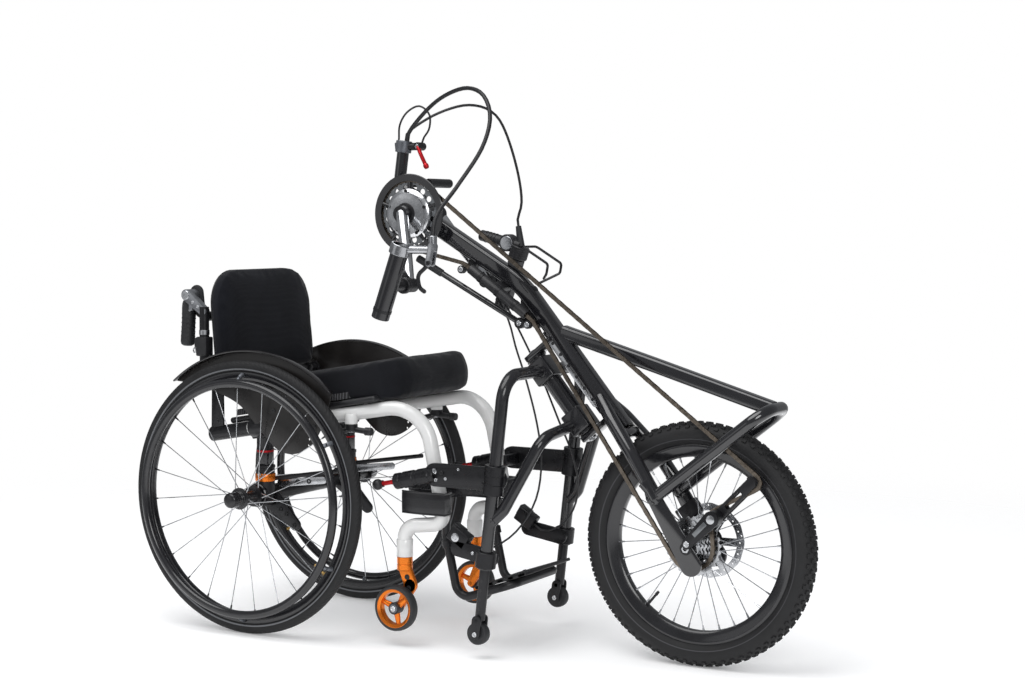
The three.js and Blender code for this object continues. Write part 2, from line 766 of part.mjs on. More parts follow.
// Backrest frame: two canes joined by a bar, hinged on the ears of the chair frame.
function backFrame() {
  const parts = [];
  const elbow = backHinge.z + cane.bend;
  for (const [, side] of sides) {
    const y = side * cane.y;
    parts.push(tube(
      [V(backHinge.x, y, backHinge.z), V(cane.x, y, elbow), V(cane.x, y, cane.topZ)],
      cane.radius,
      cane.bend,
      thinSides,
    ));
    const inner = y - (side * cane.radius) / 2;
    const outer = side * (backHinge.y - seatClearance);
    parts.push(bar(V(backHinge.x, inner, backHinge.z), V(backHinge.x, outer, backHinge.z), cane.radius));
    parts.push(link(
      [cane.x, cane.topZ - pushArm.width / 2],
      [pushHinge.x, pushHinge.z],
      pushArm.width / 2,
      y - pushArm.thickness / 2,
      y + pushArm.thickness / 2,
      pushHinge.radius,
    ));
  }
  parts.push(tube([V(cane.x, -cane.y, cane.crossZ), V(cane.x, cane.y, cane.crossZ)], cane.radius, 0));
  return join(...parts);
}

piece("backrest_frame", backFrame(), paint.blackMetal);

function backPad() {
  const height = backCushion.topZ - backCushion.bottomZ;
  const { width, thickness, corner, crown } = backCushion;
  return pad(height, width, thickness - crown, corner, crown, (geometry) => {
    geometry.rotateY(turn / 4);
    geometry.translate(
      cane.x + cane.radius + seatClearance,
      0,
      (backCushion.topZ + backCushion.bottomZ) / 2,
    );
  });
}

piece("backrest_cushion", backPad(), paint.fabric);

// Push handles that fold down behind the canes.
for (const [name, side] of sides) {
  const inner = side * (cane.y - pushArm.thickness / 2 - runningClearance);
  const cheek = inner - side * pushArm.thickness;
  const faces = [Math.min(inner, cheek), Math.max(inner, cheek)];
  const knuckle = link(
    [pushHinge.x, pushHinge.z],
    [pushHinge.x - pushHinge.radius / 2, pushHinge.z - pushHinge.radius * 2],
    pushHinge.radius,
    faces[0],
    faces[1],
  );
  const x = pushHinge.x - pushHinge.radius;
  const top = pushHinge.z - pushHinge.radius;
  const y = inner - (side * pushGrip.thickness) / 2;
  const handleEnd = V(x - pushHinge.radius / 2, y, top - pushGrip.length);
  const handle = bar(V(x, y, top), handleEnd, pushGrip.thickness / 2);
  piece("push_handle_" + name, join(knuckle, handle), paint.rubber);
}

// Where a front leg's centre line lies at a height.
function chairLegX(z) {
  const share = (z - frontLeg.footZ) / (frontLeg.kneeZ - frontLeg.footZ);
  return frontLeg.footX + share * (frontLeg.kneeX - frontLeg.footX);
}

// Footrest tube, bent in a U below the front legs, and its slatted plate.
function footrestTube() {
  const parts = [];
  const { y, topX, topZ, lowX, lowZ, frontX, frontZ } = footTube;
  parts.push(tube(
    [
      V(topX, -y, topZ),
      V(lowX, -y, lowZ),
      V(frontX, -y, frontZ),
      V(frontX, y, frontZ),
      V(lowX, y, lowZ),
      V(topX, y, topZ),
    ],
    footTube.radius,
    footTube.radius * 3,
    thinSides,
  ));
  for (const [, side] of sides) {
    const seat = V(chairLegX(footTube.claspZ), side * frontLeg.y, footTube.claspZ);
    parts.push(bar(V(topX, side * y, topZ), seat, footTube.radius));
  }
  return join(...parts).subtract(join(...sides.map(([, side]) => sideTube(side, seatClearance))));
}

piece("footrest_tube", footrestTube(), paint.blackMetal);

function footplatePart() {
  const { lowX, lowZ, frontX, frontZ } = footTube;
  const rise = (frontZ - lowZ) / (frontX - lowX);
  const x = footPlate.rearX + footPlate.length / 2;
  const lift = footTube.radius + seatClearance + footPlate.thickness / 2;
  const z = lowZ + (x - lowX) * rise + lift / Math.cos(Math.atan(rise));
  const overall = V(footPlate.length, footPlate.width + 2 * footTube.radius, footPlate.thickness);
  let panel = block(V(x, 0, z), overall, rise);
  const pitch = footPlate.length / (footPlate.slots + 1);
  for (let i = 1; i <= footPlate.slots; i++) {
    const offset = i * pitch - footPlate.length / 2;
    const spot = V(x + offset, 0, z + offset * rise);
    const size = V(footPlate.slotWidth, footPlate.width - 2 * footTube.radius, footPlate.thickness * 3);
    panel = panel.subtract(block(spot, size, rise));
  }
  return panel;
}

piece("footplate", footplatePart(), paint.blackMetal);

// Calf strap: a padded band that bows back between the front legs.
function calfStrap() {
  const half = frontLeg.y - seatTube.radius - seatClearance;
  const frontX = chairLegX(strap.z) + seatTube.radius;
  const rim = (inset) => {
    const corner = strap.corner - inset;
    const points = [[frontX, -half + inset]];
    for (const side of [-1, 1]) {
      for (let i = 0; i <= strap.steps; i++) {
        const angle = (turn * (side < 0 ? i : strap.steps - i)) / (4 * strap.steps);
        const x = strap.backX + strap.corner - corner * Math.sin(angle);
        points.push([x, side * (half - strap.corner + corner * Math.cos(angle))]);
      }
    }
    points.push([frontX, half - inset]);
    return points;
  };
  const outline = [...rim(0), ...rim(strap.thickness).reverse()].reverse();
  const shape = new THREE.Shape(outline.map(([x, y]) => new THREE.Vector2(x, y)));
  const geometry = new THREE.ExtrudeGeometry(shape, { depth: strap.height, bevelEnabled: false });
  return solid(geometry.translate(0, 0, strap.z - strap.height / 2));
}

piece("calf_strap", calfStrap(), paint.fabric);

// Casters: a one-sided fork on a vertical stem, and a wheel with round spokes.
for (const [name, side] of sides) {
  const stem = V(casterStem.x, side * casterStem.y, 0);
  const socketTop = casterStem.socketTop - seatClearance;
  const socketLow = socketTop - caster.armWidth;
  const socket = bar(V(stem.x, stem.y, socketLow), V(stem.x, stem.y, socketTop), caster.socketRadius);
  const inner = side * (caster.y - caster.width / 2 - runningClearance);
  const back = inner - side * caster.arm;
  const faces = [Math.min(inner, back), Math.max(inner, back)];
  const elbow = [stem.x + caster.socketRadius, (socketLow + caster.z) / 2 + caster.arm];
  const arm = join(
    link([stem.x, socketLow + caster.arm], elbow, caster.armWidth / 2, faces[0], faces[1]),
    link(elbow, [caster.x, caster.z], caster.armWidth / 2, faces[0], faces[1], caster.socketRadius / 2),
  );
  const axle = bar(
    V(caster.x, back, caster.z),
    V(caster.x, side * (caster.y + caster.width / 2), caster.z),
    caster.arm / 2,
  );
  const forkSolid = join(socket, arm, axle);
  piece("caster_fork_" + name, forkSolid, paint.orangeMetal);

  const centre = V(caster.x, side * caster.y, caster.z);
  const half = caster.width / 2;
  const bore = caster.arm / 2 + seatClearance;
  let wheel = turned(
    [
      [casterRim.radius, -half * casterFaceShare],
      [caster.radius - half / 2, -half],
      [caster.radius, -half / 2],
      [caster.radius, half / 2],
      [caster.radius - half / 2, half],
      [casterRim.radius, half * casterFaceShare],
      [casterRim.radius, -half * casterFaceShare],
    ],
    centre,
    1,
    casterSteps,
  );
  const hub = casterRim.hub;
  const sleeve = [
    [bore, -half],
    [hub, -half],
    [hub, half],
    [bore, half],
    [bore, -half],
  ];
  wheel = wheel.add(turned(sleeve, centre, 1, thinSides));
  for (let i = 0; i < casterRim.spokes; i++) {
    const angle = (turn * (i + 1 / 3)) / casterRim.spokes;
    const way = V(Math.cos(angle), 0, Math.sin(angle));
    const from = centre.clone().addScaledVector(way, (casterRim.hub + bore) / 2);
    const to = centre.clone().addScaledVector(way, casterRim.radius + casterRim.spokeRadius / 2);
    wheel = wheel.add(bar(from, to, casterRim.spokeRadius, wireSides));
  }
  piece("caster_wheel_" + name, wheel, paint.orangeMetal);
}

// Wheel locks: a lever with a knob and a shoe, turning below its boss on the seat tube.
for (const [name, side] of sides) {
  const y = side * wheelLock.y;
  const pivot = V(wheelLock.x, y, wheelLock.z);
  const grab = V(wheelLock.x + wheelLock.length / 2, y, wheelLock.z - wheelLock.tube);
  const shoe = V(wheelLock.x - wheelLock.length / 2, y, wheelLock.z - wheelLock.tube * 2);
  const lockSolid = join(
    bar(V(pivot.x, y, pivot.z + wheelLock.tube), V(pivot.x, y, pivot.z - wheelLock.tube), wheelLock.boss),
    bar(shoe, grab, wheelLock.tube, wireSides),
    bar(grab, V(grab.x + wheelLock.knob * 2, y, grab.z), wheelLock.knob),
    bar(shoe, V(shoe.x, y + side * wheelLock.shoe, shoe.z), wheelLock.tube, wireSides),
  );
  piece("wheel_lock_" + name, lockSolid, paint.blackMetal);
}

// Directions of the steering axis and square to it, in the XZ plane.
const down = V(headSlope.x, 0, headSlope.z).normalize();
const ahead = V(-down.z, 0, down.x);
const onHead = (along, out = 0, y = 0) =>
  V(head.x, y, head.z).addScaledVector(down, along).addScaledVector(ahead, out);
const headTilt = down.z / down.x;

// One leg of the docking frame with its shoulder tube.
function dockLeg(side, room = 0) {
  const y = side * dockTube.legY;
  const points = [
    onHead(0, 0, 0),
    V(dockTube.kneeX, y, dockTube.kneeZ),
    V(dockTube.footX, y, dockTube.footZ),
  ];
  return tube(points, dockTube.radius + room, dockTube.bend);
}

// Docking frame: legs, shoulder tubes and braces, welded to the head bearing's blocks.
function dockFrame() {
  const parts = [bar(onHead(-head.top), onHead(head.bottom), head.radius)];
  const size = V(headBlock.height, headBlock.width, headBlock.depth);
  parts.push(block(onHead(0), size, headTilt));
  parts.push(block(onHead(headBlock.spacing), size, headTilt));
  const lean = (dockTube.kneeX - dockTube.footX) / (dockTube.kneeZ - dockTube.footZ);
  for (const [, side] of sides) {
    const y = side * dockTube.legY;
    parts.push(dockLeg(side));
    const joinX = dockTube.footX + lean * (dockBrace.joinZ - dockTube.footZ);
    parts.push(tube(
      [
        onHead(headBlock.spacing, -dockTube.radius, 0),
        V(dockBrace.kneeX, side * dockBrace.kneeY, dockBrace.kneeZ),
        V(joinX + dockTube.radius * 2, y - side * dockTube.radius / 2, dockBrace.joinZ + dockTube.radius),
        V(joinX, y, dockBrace.joinZ - dockTube.radius),
      ],
      dockTube.radius * shoulderShare,
      [dockBrace.bend, dockBrace.bend / 2],
    ));
  }
  let frame = join(...parts);
  for (const [, side] of sides) {
    const foot = V(dockTube.footX, side * dockTube.legY, dockTube.footZ);
    const up = V(lean, 0, 1).normalize();
    const from = foot.clone().addScaledVector(up, -overrun);
    const to = foot.clone().addScaledVector(up, standLeg.bore);
    frame = frame.subtract(bar(from, to, boreAround(standLeg.radius)));
  }
  return frame;
}

piece("dock_frame", dockFrame(), paint.blackMetal);

// Stand legs slide in the docking frame's legs and end in rollers.
const legLean = V((dockTube.kneeX - dockTube.footX) / (dockTube.kneeZ - dockTube.footZ), 0, 1).normalize();
for (const [name, side] of sides) {
  const foot = V(dockTube.footX, side * dockTube.legY, dockTube.footZ);
  const top = foot.clone().addScaledVector(legLean, standLeg.top);
  const hub = foot.clone().addScaledVector(legLean, -standDrop[name]);
  const crown = hub.clone().addScaledVector(legLean, standLeg.rollerRadius + standLeg.fork);
  const half = standLeg.rollerWidth / 2 + runningClearance;
  const parts = [bar(top, crown, standLeg.radius)];
  parts.push(bar(
    V(crown.x, crown.y - half - standLeg.fork, crown.z),
    V(crown.x, crown.y + half + standLeg.fork, crown.z),
    standLeg.fork,
  ));
  for (const end of [-1, 1]) {
    const y = crown.y + end * (half + standLeg.fork / 2);
    parts.push(link(
      [crown.x, crown.z],
      [hub.x, hub.z],
      standLeg.radius,
      y - standLeg.fork / 2,
      y + standLeg.fork / 2,
      standLeg.radius,
    ));
  }
  piece("stand_leg_" + name, join(...parts), paint.blackMetal);
  const width = standLeg.rollerWidth / 2;
  const edge = standLeg.rollerRadius - standLeg.fork;
  const roller = turned(
    [
      [0, -width],
      [edge, -width],
      [standLeg.rollerRadius, -width / 2],
      [standLeg.rollerRadius, width / 2],
      [edge, width],
      [0, width],
    ],
    hub,
    1,
    hubSteps,
  );
  piece("stand_roller_" + name, roller, paint.rubber);
}

// Upper clamps: a collar on the docking leg, a side plate and a jaw beside the chair's leg.
function legAt(z, side) {
  const share = (z - dockTube.footZ) / (dockTube.kneeZ - dockTube.footZ);
  return V(dockTube.footX + share * (dockTube.kneeX - dockTube.footX), side * dockTube.legY, z);
}

for (const [name, side] of sides) {
  const leg = legAt(clamp.upperZ, side);
  const jawY = side * (frontLeg.y + seatTube.radius - jaw.bite + jaw.radius);
  const jawStart = V(chairLegX(clamp.upperZ) + jaw.radius, jawY, clamp.upperZ);
  const jawEnd = jawStart.clone().add(V(-jaw.length, 0, -jaw.length * jaw.slope));
  const legBore = dockLeg(side, seatClearance);
  const collar = bar(
    leg.clone().addScaledVector(legLean, -clamp.height / 2),
    leg.clone().addScaledVector(legLean, clamp.height / 2),
    clamp.collar,
  );
  const plateY = jawY;
  const arm = link(
    [leg.x, leg.z],
    [jawStart.x, jawStart.z],
    clamp.arm / 2,
    plateY - clamp.plate / 2,
    plateY + clamp.plate / 2,
  );
  const hookY = frontLeg.y - seatTube.radius;
  const hook = block(
    V(jawStart.x + seatTube.radius, side * (hookY + jaw.radius), jawStart.z),
    V(clamp.plate, seatTube.radius * 2 + jaw.radius * 2, clamp.arm / 2),
  );
  const chairBore = sideTube(side, seatClearance);
  const grip = join(bar(jawStart, jawEnd, jaw.radius), hook);
  const upper = join(collar, arm, grip).subtract(legBore).subtract(chairBore);
  piece("upper_clamp_" + name, upper, paint.blackMetal);

  const way = jawEnd.clone().sub(jawStart).normalize();
  const screwStart = jawEnd.clone().addScaledVector(way, seatClearance);
  const screwEnd = screwStart.clone().addScaledVector(way, jaw.rodLength);
  const screw = join(
    bar(screwStart, screwEnd, jaw.rod, wireSides),
    ball(screwEnd.clone().addScaledVector(way, jaw.ball / 2), jaw.ball, thinSides),
  );
  piece("clamp_screw_" + name, screw, paint.red);

  const low = legAt(clamp.lowerZ, side);
  const blockY = side * (dockTube.legY - clamp.collar - lowerJaw.width / 2 + clamp.plate / 2);
  const lowCollar = bar(
    low.clone().addScaledVector(legLean, -clamp.lowHeight / 2),
    low.clone().addScaledVector(legLean, clamp.lowHeight / 2),
    clamp.collar,
  );
  const lowArm = link(
    [low.x, low.z],
    [lowerJaw.x, lowerJaw.z - lowerJaw.lift],
    clamp.lowHeight / 2,
    side < 0 ? blockY - lowerJaw.width / 2 : blockY + lowerJaw.width / 2 - clamp.plate,
    side < 0 ? blockY - lowerJaw.width / 2 + clamp.plate : blockY + lowerJaw.width / 2,
  );
  const grab = block(
    V(lowerJaw.x, blockY, lowerJaw.z),
    V(lowerJaw.length, lowerJaw.width, lowerJaw.height),
    lowerJaw.rise,
  );
  const lower = join(lowCollar, lowArm, grab).subtract(legBore).subtract(chairBore);
  piece("lower_clamp_" + name, lower, paint.blackMetal);
}

// The chain's centre line around wheels that turn with it or against it.
function beltPath(wheels) {
  const path = [];
  const count = wheels.length;
  const tangent = wheels.map((a, i) => {
    const b = wheels[(i + 1) % count];
    const dx = b.x - a.x;
    const dz = b.z - a.z;
    const span = Math.hypot(dx, dz);
    const lean = Math.asin((a.way * a.r - b.way * b.r) / span);
    return Math.atan2(dz, dx) + turn / 4 - lean;
  });
  for (let i = 0; i < count; i++) {
    const w = wheels[i];
    const arrive = tangent[(i + count - 1) % count];
    let leave = tangent[i];
    if (w.way > 0) while (leave > arrive) leave -= turn;
    else while (leave < arrive) leave += turn;
    const steps = Math.max(2, Math.round((Math.abs(leave - arrive) * 360) / turn / degreesPerBendStep));
    for (let k = 0; k <= steps; k++) {
      const angle = arrive + ((leave - arrive) * k) / steps;
      const out = w.way * w.r;
      const nx = Math.cos(angle);
      const nz = Math.sin(angle);
      path.push({ x: w.x + out * nx, z: w.z + out * nz, nx, nz });
    }
  }
  return path;
}

const chainWheels = [
  { x: crank.x, z: crank.z, r: chain.ring, way: 1 },
  { x: mech.pulleyX, z: mech.pulleyZ, r: chain.pulley, way: 1 },
  { x: mech.x, z: mech.z, r: chain.pulley, way: -1 },
  { x: wheelbase, z: frontTyreRadius, r: chain.sprocket, way: 1 },
  ...idlers.map(({ x, z }) => ({ x, z, r: chain.idler, way: -1 })),
];

const chainPath = beltPath(chainWheels);

// Ends of the tube that guides the chain under the boom, between the two idlers.
function chainTubeEnds() {
  let longest = 0;
  let run;
  chainPath.forEach((p, i) => {
    const q = chainPath[(i + 1) % chainPath.length];
    const between = p.x < idlers[0].x + chain.idler && q.x > idlers[1].x - chain.idler && p.x > q.x;
    const length = Math.hypot(q.x - p.x, q.z - p.z);
    if (between && length > longest) {
      longest = length;
      run = [V(q.x, -chainLine, q.z), V(p.x, -chainLine, p.z)];
    }
  });
  const [from, to] = run;
  const spare = (1 - chainTube.share) / 2;
  return [from.clone().lerp(to, spare), to.clone().lerp(from, spare)];
}

// Height of the boom's centre line on its upper run.
const boomHeight = (x) => crank.z + ((x - crank.x) * (boom.kneeZ - crank.z)) / (boom.kneeX - crank.x);

// The yoke's two lugs, above and below the head bearing.
function yokeLugs(room = 0) {
  const size = V(yoke.thickness + 2 * room, yoke.width + 2 * room, yoke.reach + yoke.width / 2);
  const lugTop = -head.top - runningClearance - yoke.thickness / 2;
  const lugLow = head.bottom + runningClearance + yoke.thickness / 2;
  const out = yoke.reach / 2 - yoke.width / 4;
  return join(block(onHead(lugTop, out), size, headTilt), block(onHead(lugLow, out), size, headTilt));
}

// Boom with the crank bearing at its end, the yoke around the head bearing and the rail.
function boomPart() {
  const axis = V(crank.x, 0, crank.z);
  const bearingRight = V(axis.x, -bearing.width / 2, axis.z);
  const bearingLeft = V(axis.x, bearing.width / 2, axis.z);
  const parts = [
    sweep(
      boxSection(boom.width, boom.height, boom.corner),
      bentRoute([axis, V(boom.kneeX, 0, boom.kneeZ), V(boom.endX, 0, boom.endZ)], boom.bend),
    ),
    bar(bearingRight, bearingLeft, bearing.radius, hubSteps),
  ];
  parts.push(yokeLugs());
  const railMiddle = onHead(rail.start + rail.length / 2 + head.top, yoke.reach - rail.thickness);
  parts.push(block(railMiddle, V(rail.length + head.top * 2, rail.width, rail.thickness * 2), headTilt));
  const hole = bar(
    V(axis.x, -bearing.width, axis.z),
    V(axis.x, bearing.width, axis.z),
    boreAround(spindle.radius),
  );
  for (const idler of idlers) {
    const outer = -chainLine - idlerPin.width / 2;
    const inner = -chainLine + idlerPin.width / 2;
    const wheelRadius = chain.idler - chain.height / 2 - runningClearance;
    parts.push(bar(V(idler.x, 0, idler.z), V(idler.x, outer, idler.z), idlerPin.radius));
    parts.push(bar(V(idler.x, outer, idler.z), V(idler.x, inner, idler.z), wheelRadius));
    const armEnd = [idler.armX, boomHeight(idler.armX)];
    parts.push(link([idler.x, idler.z], armEnd, idlerPin.radius * 2, -boom.width / 4, boom.width / 4));
  }
  const { pivotX, pivotZ } = leverBar;
  const pivotTop = [pivotX, boomHeight(pivotX)];
  parts.push(link([pivotX, pivotZ], pivotTop, leverBar.bracket, -boom.width / 4, boom.width / 4));
  parts.push(bar(V(pivotX, 0, pivotZ), V(pivotX, -yoke.width / 2, pivotZ), leverBar.bracket));
  const [from, to] = chainTubeEnds();
  const middle = from.clone().add(to).multiplyScalar(1 / 2);
  parts.push(bar(from, to, chainTube.radius));
  parts.push(block(
    V(middle.x, middle.y / 2, middle.z + chainTube.radius),
    V(chainTube.strap, -middle.y, chainTube.radius),
    (to.z - from.z) / (to.x - from.x),
  ));
  const way = to.clone().sub(from).normalize().multiplyScalar(overrun);
  const boreRadius = boreAround(chain.height * chainBoreShare);
  const bore = bar(from.clone().sub(way), to.clone().add(way), boreRadius, tubeSides);
  return join(...parts).subtract(hole).subtract(bore);
}

piece("main_boom", boomPart(), paint.blackMetal);

// Fork: two bent blades from the boom's sides down to flat dropouts.
function forkPart(room = 0) {
  const parts = [];
  const radius = blade.radius + room;
  for (const [, side] of sides) {
    const y = side * blade.y;
    const route = bladeRoute.map(([x, out, z]) => V(x, side * out, z));
    parts.push(tube([...route, V(blade.lowX, y, blade.lowZ)], radius, blade.bend));
    const half = dropout.thickness / 2 + room;
    parts.push(link(
      [blade.lowX - blade.radius, blade.lowZ + blade.radius],
      [dropout.endX, dropout.endZ],
      radius,
      y - half,
      y + half,
      dropout.width / 2 + room,
    ));
  }
  const end = V(boom.endX, 0, boom.endZ).addScaledVector(down, blade.crossRadius + seatClearance);
  const out = bladeRoute[1][1];
  parts.push(bar(V(end.x, -out, end.z), V(end.x, out, end.z), blade.crossRadius + room));
  const outer = blade.y + dropout.thickness;
  const axle = [V(frontCentre.x, -outer, frontCentre.z), V(frontCentre.x, outer, frontCentre.z)];
  return join(...parts).subtract(bar(...axle, boreAround(frontHub.axle)));
}

const boomRoom = sweep(
  boxSection(boom.width + 2 * seatClearance, boom.height + 2 * seatClearance, boom.corner),
  bentRoute([V(crank.x, 0, crank.z), V(boom.kneeX, 0, boom.kneeZ), V(boom.endX, 0, boom.endZ)], boom.bend),
);
piece("fork", forkPart().subtract(boomRoom).subtract(yokeLugs(seatClearance)), paint.blackMetal);

// Bow: a hoop around the front wheel, with a flat-sided tube back to the boom.
function bowPart() {
  const startZ = bow.tipZ - bow.rise * (bow.tipX - bow.startX);
  const hoop = tube(
    [
      V(bow.startX, -bow.y, startZ),
      V(bow.tipX, -bow.y, bow.tipZ),
      V(bow.tipX, bow.y, bow.tipZ),
      V(bow.startX, bow.y, startZ),
    ],
    bow.radius,
    bow.bend,
  );
  const top = sweep(
    boxSection(topTube.width, topTube.height, topTube.corner),
    bentRoute([V(topTube.startX, 0, topTube.startZ), V(bow.tipX - bow.radius / 2, 0, bow.tipZ)], 0),
  );
  return join(hoop, top);
}

piece("bow", bowPart().subtract(boomRoom).subtract(forkPart(seatClearance)), paint.blackMetal);

// Front wheel with hub, freewheel body and brake disc; then its tyre and the sprockets.
function frontWheelPart() {
  const half = frontHub.flangeSpread / 2;
  const flange = frontHub.flangeThickness;
  const end = frontHub.width / 2 - runningClearance;
  const sprocketBody = cassette.bore - seatClearance;
  const hubProfile = [
    [0, -frontHub.axleEnd],
    [frontHub.axle, -frontHub.axleEnd],
    [frontHub.axle, -end],
    [sprocketBody, -end],
    [sprocketBody, -half - flange],
    [frontHub.flange, -half - flange / 2],
    [frontHub.flange, -half + flange / 2],
    [frontHub.radius, -half + flange],
    [frontHub.radius, half - flange],
    [frontHub.flange, half - flange / 2],
    [frontHub.flange, half + flange / 2],
    [frontHub.radius, half + flange],
    [frontHub.radius, end],
    [frontHub.axle, end],
    [frontHub.axle, frontHub.axleEnd],
    [0, frontHub.axleEnd],
  ];
  let wheel = spokedWheel(frontCentre, frontRim, frontHub, frontSpokes, hubProfile, 1);
  const low = brakeDisc.offset - brakeDisc.thickness / 2;
  const high = brakeDisc.offset + brakeDisc.thickness / 2;
  const { window, radius } = brakeDisc;
  const discProfile = [[window, low], [radius, low], [radius, high], [window, high], [window, low]];
  wheel = wheel.add(turned(discProfile, frontCentre, 1, ringSteps));
  for (let i = 0; i < brakeDisc.arms; i++) {
    const angle = (turn * i) / brakeDisc.arms;
    const way = V(Math.cos(angle), 0, Math.sin(angle));
    const at = frontCentre.clone().add(V(0, brakeDisc.offset, 0));
    const to = at.clone().addScaledVector(way, brakeDisc.window + brakeDisc.armRadius);
    wheel = wheel.add(bar(at, to, brakeDisc.armRadius, spokeSides));
  }
  return wheel;
}

piece("front_wheel", frontWheelPart(), paint.blackMetal);
const frontRing = tyre(frontTyreRadius, frontTyreWidth, frontRim, frontCentre, frontTyreSteps);
piece("front_tyre", frontRing, paint.rubber);

function cassettePart() {
  const { bore, radii, faces } = cassette;
  const profile = [[bore, faces[0]]];
  radii.forEach((radius, i) => profile.push([radius, faces[i]], [radius, faces[i + 1]]));
  profile.push([bore, faces[radii.length]]);
  profile.push(profile[0]);
  return turned(profile, frontCentre, 1, sprocketSteps);
}

piece("cassette", cassettePart(), paint.silverMetal);

// Brake caliper over the disc, on the left dropout.
function caliperPart() {
  const angle = (turn * caliper.angle) / 360;
  const at = frontCentre.clone().add(V(Math.cos(angle), 0, Math.sin(angle)).multiplyScalar(caliper.radius));
  const outerFace = blade.y - dropout.thickness / 2 - seatClearance;
  const innerFace = outerFace - caliper.width;
  const centre = V(at.x, (outerFace + innerFace) / 2, at.z);
  const body = block(centre, V(caliper.length, caliper.width, caliper.height), -1 / Math.tan(angle));
  const slotCentre = V(frontCentre.x, brakeDisc.offset, frontCentre.z);
  const slot = turned(
    [
      [0, -caliper.slot / 2],
      [brakeDisc.radius + runningClearance, -caliper.slot / 2],
      [brakeDisc.radius + runningClearance, caliper.slot / 2],
      [0, caliper.slot / 2],
    ],
    slotCentre,
  );
  return body.subtract(slot);
}

piece("brake_caliper", caliperPart(), paint.blackMetal);

// Chainset: right crank, spindle, chainring, guard and disc turn as one.
const pin = (side) => V(crank.pinX, side * crank.pinY, crank.pinZ);

function crankArmSolid(side) {
  const hub = V(crank.x, side * (spindle.outer - crankArm.boss / 2), crank.z);
  const end = pin(side);
  const hubInner = V(hub.x, hub.y - side * (crankArm.boss / 2), hub.z);
  const hubOuter = V(hub.x, hub.y + side * (crankArm.boss / 2), hub.z);
  return join(
    bar(hubInner, hubOuter, crankArm.boss * armHubShare, hubSteps),
    bar(hub, end, crankArm.radius * armRootShare, tubeSides, crankArm.radius * armTipShare),
    bar(
      V(end.x, end.y - side * (crankArm.pinLength / 2), end.z),
      V(end.x, end.y + side * (crankArm.pinLength / 2), end.z),
      crankArm.endRadius,
      hubSteps,
    ),
  );
}

function chainsetPart() {
  const centre = V(crank.x, 0, crank.z);
  const { guard, guardThickness, guardY, ring, ringThickness, disc, discY } = ringSet;
  const plates = turned(
    [
      [0, -discY],
      [disc * guardPlateShare, -discY],
      [disc, -discY + ringThickness * 2],
      [disc, -guardY - guardThickness],
      [guard, -guardY - guardThickness],
      [guard, -guardY],
      [disc, -guardY],
      [disc, -chainLine - ringThickness / 2],
      [ring, -chainLine],
      [disc, -chainLine + ringThickness / 2],
      [0, -chainLine + ringThickness / 2],
    ],
    centre,
    1,
    ringSteps,
  );
  return join(plates, shaftBar(spindle.radius), crankArmSolid(-1));
}

function shaftBar(radius) {
  const end = spindle.outer - crankArm.boss / 2;
  return bar(V(crank.x, -spindle.outer, crank.z), V(crank.x, end, crank.z), radius, hubSteps);
}

piece("chainset", chainsetPart(), paint.blackMetal);
const shaftRoom = shaftBar(boreAround(spindle.radius, hubSteps)).translate([0, seatClearance, 0]);
piece("crank_left", crankArmSolid(1).subtract(shaftRoom), paint.blackMetal);

// Chain: a closed band around ring, pulleys, sprocket and idlers.
function chainPart() {
  const half = chain.height / 2;
  const outer = chainPath.map((p) => [p.x + half * p.nx, p.z + half * p.nz]);
  const inner = chainPath.map((p) => [p.x - half * p.nx, p.z - half * p.nz]);
  return plate(outer.reverse(), -chainLine - chain.width / 2, -chainLine + chain.width / 2, [inner]);
}

piece("chain", chainPart(), paint.silverMetal);

// Derailleur: body on the right dropout with its cable, and a sprung cage with two pulleys.
function mechBody() {
  const y = -blade.y - dropout.thickness / 2 - seatClearance;
  const outerY = y - mech.arm;
  const hub = [frontCentre.x + dropout.bore, frontCentre.z + dropout.width / 4];
  const arm = link(hub, [mech.x, mech.z], mech.arm, outerY, y, mech.knuckle);
  const axis = V(mech.x, 0, mech.z);
  const cageFace = -chainLine - mech.gap - mech.plate - runningClearance;
  const knuckle = bar(V(axis.x, cageFace, axis.z), V(axis.x, outerY, axis.z), mech.knuckle, hubSteps);
  return join(arm, knuckle);
}

function mechCage() {
  const parts = [];
  const low = [mech.x, mech.z];
  const high = [mech.pulleyX, mech.pulleyZ];
  for (const side of [-1, 1]) {
    const y = -chainLine + side * (mech.gap + mech.plate / 2);
    parts.push(link(low, high, mech.arm, y - mech.plate / 2, y + mech.plate / 2));
  }
  const pulleyRadius = chain.pulley - chain.height / 2 - seatClearance;
  for (const [x, z] of [low, high]) {
    parts.push(bar(V(x, -chainLine - mech.gap, z), V(x, -chainLine + mech.gap, z), mech.arm / 2));
    parts.push(bar(
      V(x, -chainLine - chain.width / 2, z),
      V(x, -chainLine + chain.width / 2, z),
      pulleyRadius,
      hubSteps,
    ));
  }
  return join(...parts);
}

piece("derailleur", mechBody(), paint.blackMetal);
piece("derailleur_cage", mechCage(), paint.blackMetal);

// Hand grips: open tubes on bearings around the crank pins.
const gripLow = (side) => V(grip.lowX, side * grip.y, grip.lowZ);
const gripTop = (side) => V(grip.topX, side * grip.y, grip.topZ);
const gripEnds = { right: 1, left: shifter.gripShare };

function gripTube(side, share) {
  const low = gripLow(side);
  const top = low.clone().lerp(gripTop(side), share);
  const way = top.clone().sub(low).normalize();
  const bearingStart = side * (crank.pinY + crankArm.pinLength / 2 + runningClearance);
  const stubStart = V(crank.pinX, bearingStart, crank.pinZ);
  const stub = bar(stubStart, V(crank.pinX, side * grip.y, crank.pinZ), grip.stub);
  const bore = bar(
    low.clone().addScaledVector(way, -overrun),
    low.clone().addScaledVector(way, grip.bore),
    grip.radius - grip.wall,
  );
  return join(bar(low, top, grip.radius, hubSteps), stub).subtract(bore);
}

